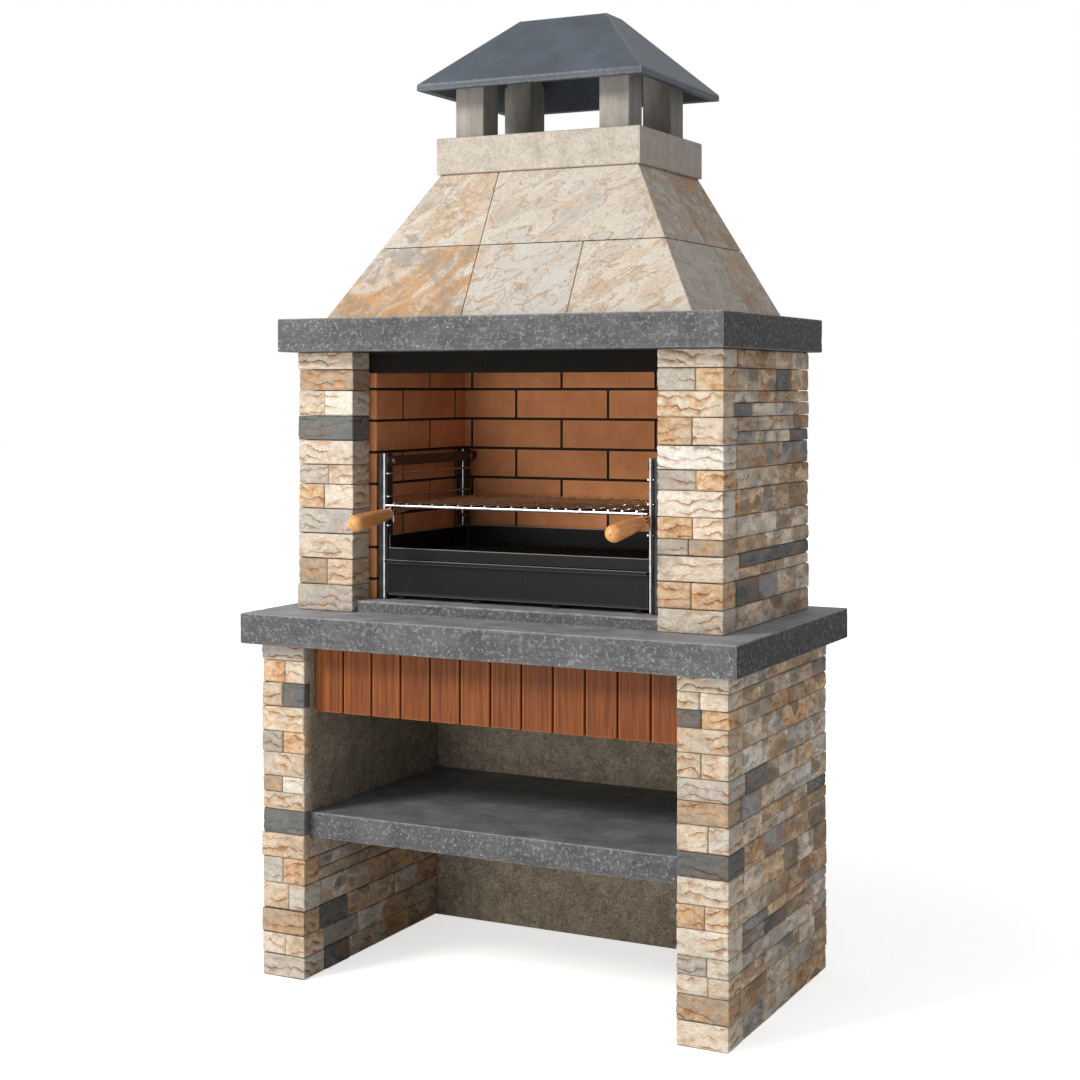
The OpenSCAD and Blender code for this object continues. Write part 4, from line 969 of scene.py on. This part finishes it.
# Short dark chips in the brushed face
fleck, chipped = pattern(add, laid, 7, [(0.34, 0.6), (0.43, 0.97), (0.57, 1.02), (0.65, 1.22)],
                         over=veined, amount=0.8, Detail=4.0, Roughness=0.65, Distortion=2.6)
sand, colour = pattern(add, coords, 2.2, [(0.3, 0.88), (0.7, 1.1)], over=chipped, Detail=3.0,
                       Roughness=0.65)
surface(add, shader, colour, (bed, 0.5, 0.8), [(0.6, 1.6, fleck), (0.4, 0.6, sand)], IOR=1.54)

# %% Shape of the tiles
def tile_facing(name, node, outward, rust, seed):
    """Tiles between the corners of their CAD solids. outward is the way that they face in
    plan, and rust says how much iron each one has, from the lowest left."""
    dice = random.Random(seed)
    points, faces, lucks, rusts = [], [], [], []
    out = Vector(outward)
    across = Vector((-out.y, out.x, 0))
    tiles = loose_parts(node)
    tiles.sort(key=lambda t: (round(t[:, 2].min(), 3), round(Vector(t.mean(0)).dot(across), 3)))
    for number, corners in enumerate(tiles):
        corners = [Vector(c) for c in corners]
        middle = (min(c.z for c in corners) + max(c.z for c in corners)) / 2
        quads = []
        for row in (False, True):
            level = [c for c in corners if (c.z > middle) == row]
            level.sort(key=lambda c: -c.dot(out))
            front, rear = level[:2], level[2:]
            quads.append([sorted(front, key=lambda c: c.dot(across)),
                          sorted(rear, key=lambda c: c.dot(across))])
        (foot, foot_rear), (top, top_rear) = quads
        normal = (foot[1] - foot[0]).cross(top[0] - foot[0]).normalized()
        if normal.dot(out) < 0:
            normal.negate()
        wide = (foot[1] - foot[0]).length
        tall = (top[0] - foot[0]).length
        edge = [0.0, 0.6 * MM, 1.5 * MM, 3 * MM]
        us = [u / wide for u in spread(wide, edge)]
        vs = [v / tall for v in spread(tall, edge)]
        luck = dice.random() * 9
        start = len(points)
        for u in us:
            for v in vs:
                spot = foot[0].lerp(foot[1], u).lerp(top[0].lerp(top[1], u), v)
                to_edge = min(u * wide, (1 - u) * wide, v * tall, (1 - v) * tall)
                at = spot * 22 + Vector((luck, 0, 0))
                wave = 0.5 + 0.5 * noise.fractal(at, 0.9, 2.1, 4)
                dip = min(1.6, max(0.0, 1.1 * wave)) * MM * min(1, to_edge / (4 * MM))
                points.append(spot - normal * (dip + drawn_in(to_edge, 1.5 * MM)))
        rear = len(points)
        points += [foot_rear[0], foot_rear[1], top_rear[1], top_rear[0]]
        faces += closed_net(start, len(us), len(vs), [rear, rear + 1], [rear + 3, rear + 2])
        lucks += [luck] * (len(points) - start)
        rusts += [rust[number % len(rust)]] * (len(points) - start)
    place_piece(name, [tuple(p) for p in points], faces, tile_material, "hood_tile", [node],
                sharp=50.0, luck=lucks, rust=rusts)


tile_facing("hood_front_quartzite", "hood_front_tiles", (0, -1, 0), (0.9, 0.0, 0.2, 0.3, 0.08), 41)
tile_facing("hood_right_quartzite", "hood_right_tiles", (1, 0, 0), (0.15, 0.6, 0.35, 0.9), 42)
tile_facing("hood_left_quartzite", "hood_left_tiles", (-1, 0, 0), (0.5, 0.2, 0.4, 0.3), 43)

# %% [markdown]
# The collar is cast in pale limestone concrete, full of small holes. The chimney cap is
# cast too, and painted slate blue-grey; the rain has left it dusty, with fine scratches.

# %% Materials: limestone concrete, leg concrete and the slate-coloured cap
collar_material, add, shader, coords = new_material("pale_limestone_concrete")
_, ground = pattern(add, coords, 38, [(0.3, "#b0a79c"), (0.5, "#beb6ac"), (0.7, "#c9c2b9")],
                    Detail=7.0, Roughness=0.65)
hole = add("TexVoronoi", coords, Scale=per_metre(9))
pit = add("ValToRGB", hole.outputs["Distance"], stops=[(0.08, 0.35), (0.17, 1.0)])
sand, speck = pattern(add, coords, 6, [(0.33, 0.72), (0.5, 1.0), (0.67, 1.16)], Detail=5.0,
                      Roughness=0.75)
# Painted shade: the small holes are darkened
pits_shaded = add("MixRGB MULTIPLY", 0.7, ground, pit)
colour = add("MixRGB MULTIPLY", 1.0, pits_shaded, speck)
surface(add, shader, colour, (sand, 0.75, 0.95), [(0.8, 1.2, pit), (0.5, 0.8, sand)], IOR=1.5)

leg_material, add, shader, coords = new_material("plain_grey_concrete")
upright = add("Mapping", coords, Scale=(1.0, 1.0, 0.18))
cloud, ground = pattern(add, upright, 22, [(0.3, "#8b8883"), (0.5, "#9e9a95"), (0.7, "#ada9a4")],
                        Detail=6.0, Roughness=0.65)
sand, colour = pattern(add, coords, 2.6, [(0.3, 0.82), (0.7, 1.14)], over=ground, Detail=3.0,
                       Roughness=0.7)
surface(add, shader, colour, (cloud, 0.75, 0.95), [(0.5, 0.8, sand)], IOR=1.5)

cap_material, add, shader, coords = new_material("slate_painted_concrete")
_, ground = pattern(add, coords, 90, [(0.3, "#343c48"), (0.5, "#3f4854"), (0.7, "#4b5461")],
                    Detail=5.0, Roughness=0.55)
down = add("Mapping", coords, Scale=(1.0, 1.0, 0.25))
dust, dusty = pattern(add, down, 6, [(0.3, 0.84), (0.52, 1.0), (0.68, 1.25)], over=ground,
                      Detail=6.0, Roughness=0.7, Distortion=0.6)
rubbed = add("MapRange", dust, From_Min=0.35, From_Max=0.6)
colour = worn_and_lit_edges(add, dusty, "#8b8e93", rubbed, 0.6)
surface(add, shader, colour, (dust, 0.42, 0.7), [(0.35, 0.5, dust)], IOR=1.5)

# %% Collar, legs, cap and the body of the hood
softened("collar_cast", ["chimney_collar"], collar_material, "collar_cast", bevel=2.5)
softened("cap_legs_cast", ["cap_legs"], leg_material, "cap_leg", bevel=2.0)
softened("cap_roof_cast", ["cap_roof"], cap_material, "cap_slate", bevel=2.0, least=8.0)
softened("hood_body_cast", ["hood_body"], render_material, "hood_cast", bevel=1.0)

# %% [markdown]
# The fascia is made of teak boards, planed and oiled. The grain runs up each board: long
# wavy bands of early and late wood, with fine dark pores. Every board is cut from
# another plank, so the pattern jumps at the gaps.

# %% Material: oiled teak
teak_material, add, shader, coords = new_material("oiled_teak")
luck, own = own_place(add, coords, (0.9, 2.0, 3.0))
grow = add("Mapping", own, Scale=(1.0, 1.0, 0.035))
# Year rings meet the board's face about 5 mm apart
ring, ground = pattern(add, grow, 7, [(0.32, "#56280d"), (0.45, "#723a14"), (0.56, "#83461a"),
                        (0.7, "#8f5323")], Detail=6.0, Roughness=0.66, Distortion=0.45)
pore = add("Mapping", own, Scale=(1.0, 1.0, 0.02))
pores, dark = pattern(add, pore, 1.8, [(0.34, 0.62), (0.5, 1.0), (0.7, 1.1)], Detail=3.0,
                      Roughness=0.6)
grained = add("MixRGB MULTIPLY", 0.85, ground, dark)
plank = add("MapRange", luck, To_Min=0.92, To_Max=1.08)
shown = add("MixRGB MULTIPLY", 1.0, grained, plank)
# Painted highlight: the eased edges of a board are lightened
colour = worn_and_lit_edges(add, shown, "#b9764a", 0.4)
surface(add, shader, colour, (ring, 0.48, 0.68), [(0.35, 0.4, pores)], IOR=1.5,
        Specular_IOR_Level=0.3)

softened("fascia_boards", ["fascia_slats"], teak_material, "teak", bevel=1.2, seed=51)
softened("fascia_rail_planed", ["fascia_rail"], teak_material, "rail_wood", bevel=1.5, seed=52)

# %% [markdown]
# The firebox is folded from sheet steel and painted with black stove paint: satin, with
# a fine tooth and a little dust. Folded sheet has a soft outer edge of about its own
# thickness, which catches long pale highlights, and its colour adds a painted highlight
# along the edges, most of all those that face up. The posts of the rack are raw dark
# steel, and the flat straps have gone brown in the heat.

# %% Materials: stove paint, dark steel, brown strap, cast iron and zinc
paint_material, add, shader, coords = new_material("black_stove_paint")
cloud, ground = pattern(add, coords, 80, [(0.3, "#0d0e0f"), (0.7, "#141516")], Detail=4.0,
                        Roughness=0.6)
tooth, painted = pattern(add, coords, 1.4, [(0.3, 0.85), (0.7, 1.15)], over=ground, Detail=3.0,
                         Roughness=0.7)
# Painted highlight: edges are lightened to a pale grey, more where they face up towards the lamp
rise = add("SeparateXYZ", add("TexCoord").outputs["Normal"]).outputs["Z"]
above = add("MapRange", rise, From_Min=0.1, From_Max=0.7, To_Min=0.16, To_Max=0.85)
colour = worn_and_lit_edges(add, painted, "#a9aeb6", above)
surface(add, shader, colour, (cloud, 0.34, 0.5), [(0.25, 0.25, tooth)], IOR=1.5,
        Specular_IOR_Level=0.14)


def metal(name, dark, pale, rough_low, rough_high, size, metallic=1.0):
    """A metal that is cloudy over size millimetres, between two tones and two roughnesses."""
    material, add, shader, coords = new_material(name)
    cloud, ground = pattern(add, coords, size, [(0.32, dark), (0.68, pale)], Detail=5.0,
                            Roughness=0.65)
    tooth = add("TexNoise", coords, Scale=per_metre(1.5), Detail=3.0)
    surface(add, shader, ground, (cloud, rough_low, rough_high),
            [(0.15 + 0.4 * rough_low, 0.2, tooth)], Metallic=metallic)
    if not metallic:
        settle(shader, Specular_IOR_Level=0.12)
    return material


post_material = metal("dark_rolled_steel", "#2f3032", "#4a4b4e", 0.35, 0.6, 30, 0.8)
strap_material = metal("heat_browned_steel", "#42322a", "#5e483c", 0.45, 0.7, 25, 0.6)
grate_material = metal("cast_iron", "#101010", "#1c1c1c", 0.6, 0.85, 12, 0.0)
zinc_material = metal("galvanised_steel", "#9a9da0", "#c0c3c6", 0.3, 0.5, 14)
lintel_material = metal("smoked_sheet_steel", "#12100e", "#1d1a17", 0.6, 0.85, 40, 0.0)

# %% [markdown]
# The grill and the rods are bright chrome on steel wire. Chrome is a mirror, so what one
# sees is mostly the white of the studio and the dark of the chamber.

# %% Material: chromed wire, and rubber of the feet
chrome_material = metal("chromed_wire", "#a6aaae", "#c9ccd0", 0.1, 0.26, 20)
foot_material = metal("black_foot_pad", "#101010", "#1c1c1c", 0.6, 0.8, 8, 0.0)

# %% Steel pieces
for node, material, slot, body in (
        ("smoke_lintel", lintel_material, "black_steel", "masonry"),
        ("firebox_casing", paint_material, "black_steel", "masonry"),
        ("charcoal_tray", paint_material, "black_steel", "masonry"),
        ("drawer_box", paint_material, "black_steel", "ash_drawer"),
        ("drawer_front", paint_material, "black_steel", "ash_drawer"),
        ("charcoal_grate", grate_material, "cast_grate", "charcoal_grate"),
        ("rack_posts", post_material, "rack_steel", "masonry"),
        ("rack_straps", strap_material, "strap_steel", "masonry")):
    softened(node + "_steel", [node], material, slot, body=body, bevel=0.8, rim=1.5)
for node in ("rack_rods", "rack_rungs", "rack_bolts", "rack_spacers", "grill_grate"):
    dress(node, chrome_material)
dress("fascia_brackets", zinc_material)
dress("firebox_feet", foot_material)

# %% [markdown]
# The two handles are turned from beech. A lathe piece is its outline, spun round its
# axis. The outline has the round tip with the mark of the lathe's centre, a long slow
# taper, and a groove with a bead at the rear end.

# %% Material: waxed beech
beech_material, add, shader, coords = new_material("waxed_beech")
grow = add("Mapping", coords, Scale=(1.0, 0.07, 1.0))
ring, ground = pattern(add, grow, 8, [(0.32, "#d68d4d"), (0.5, "#e8a463"), (0.68, "#f2bb86")],
                       Detail=5.0, Roughness=0.6, Distortion=0.5)
fleck = add("Mapping", coords, Scale=(1.0, 0.2, 1.0))
flecks, colour = pattern(add, fleck, 1.6, [(0.32, 0.82), (0.5, 1.0), (0.7, 1.06)], over=ground,
                         amount=0.8, Detail=3.0)
centre = add("Attribute", attribute_name="centre")
marked = add("MixRGB", centre, colour, "#5a3416")
surface(add, shader, marked, (ring, 0.34, 0.5), [(0.2, 0.3, flecks)], IOR=1.5, Coat_Weight=0.15,
        Coat_Roughness=0.25)

# %% Shape of a turned handle
REAR_END = (327.5, -186.5, 1092.25)
DROOP = math.radians(5.5)
HANDLE_L = 166.0
TIP_R = 20.0
REAR_R = 13.5


def handle_outline():
    """Distance along the handle and radius, in millimetres, from the rear end."""
    line = [(0, 0), (0, REAR_R - 2.5), (0.7, REAR_R - 1), (2.2, REAR_R - 0.1), (5, REAR_R + 0.4),
            (8.5, REAR_R + 0.2), (10.4, REAR_R - 0.9), (11.2, REAR_R - 1.6), (12.6, REAR_R - 1.6),
            (13.4, REAR_R - 0.6), (15, REAR_R + 0.8)]
    taper_end = HANDLE_L - TIP_R
    for i in range(1, 13):
        t = i / 12
        r = REAR_R + 0.9 + (TIP_R - REAR_R - 0.9) * (1 - (1 - t) ** 1.5)
        line.append((15 + (taper_end - 15) * t, r))
    for i in range(1, 12):
        a = math.radians(i * 7.5)
        line.append((taper_end + (TIP_R - 0.4) * math.sin(a), TIP_R * math.cos(a)))
    return line + [(HANDLE_L - 0.35, 1.8), (HANDLE_L - 1.2, 1.3), (HANDLE_L - 2.2, 0)]


def turned_handle(name, side):
    way = Vector((0, -math.cos(DROOP), -math.sin(DROOP)))
    up = Vector((0, math.sin(DROOP), -math.cos(DROOP)))
    over = Vector((1, 0, 0))
    start = Vector((side * REAR_END[0], REAR_END[1], REAR_END[2])) * MM
    outline = handle_outline()
    turns = 56
    points, faces, centre = [], [], []
    for run, r in outline:
        for k in range(turns):
            a = 2 * math.pi * k / turns
            arm = up * math.cos(a) + over * math.sin(a)
            points.append(tuple(start + (way * run + arm * r) * MM))
            centre.append(1.0 if run > HANDLE_L - 2.5 and r < 1.5 else 0.0)
    for i in range(len(outline) - 1):
        for k in range(turns):
            a, b = i * turns + k, i * turns + (k + 1) % turns
            faces.append((a, b, b + turns, a + turns))
    place_piece(name, points, faces, beech_material, "beech", [name.replace("beech_", "")],
                body="grill", sharp=60.0, centre=centre)


turned_handle("beech_left_handle", -1)
turned_handle("beech_right_handle", 1)

# %% [markdown]
# Last, the box round the dressed barbecue is written beside the box of the CAD model.
# They should agree: dressing a thing must not make it bigger.

# %% Sizes, and the end of the lesson
[[[float(v) for v in corner] for corner in box] for box in (cad_box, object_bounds())]
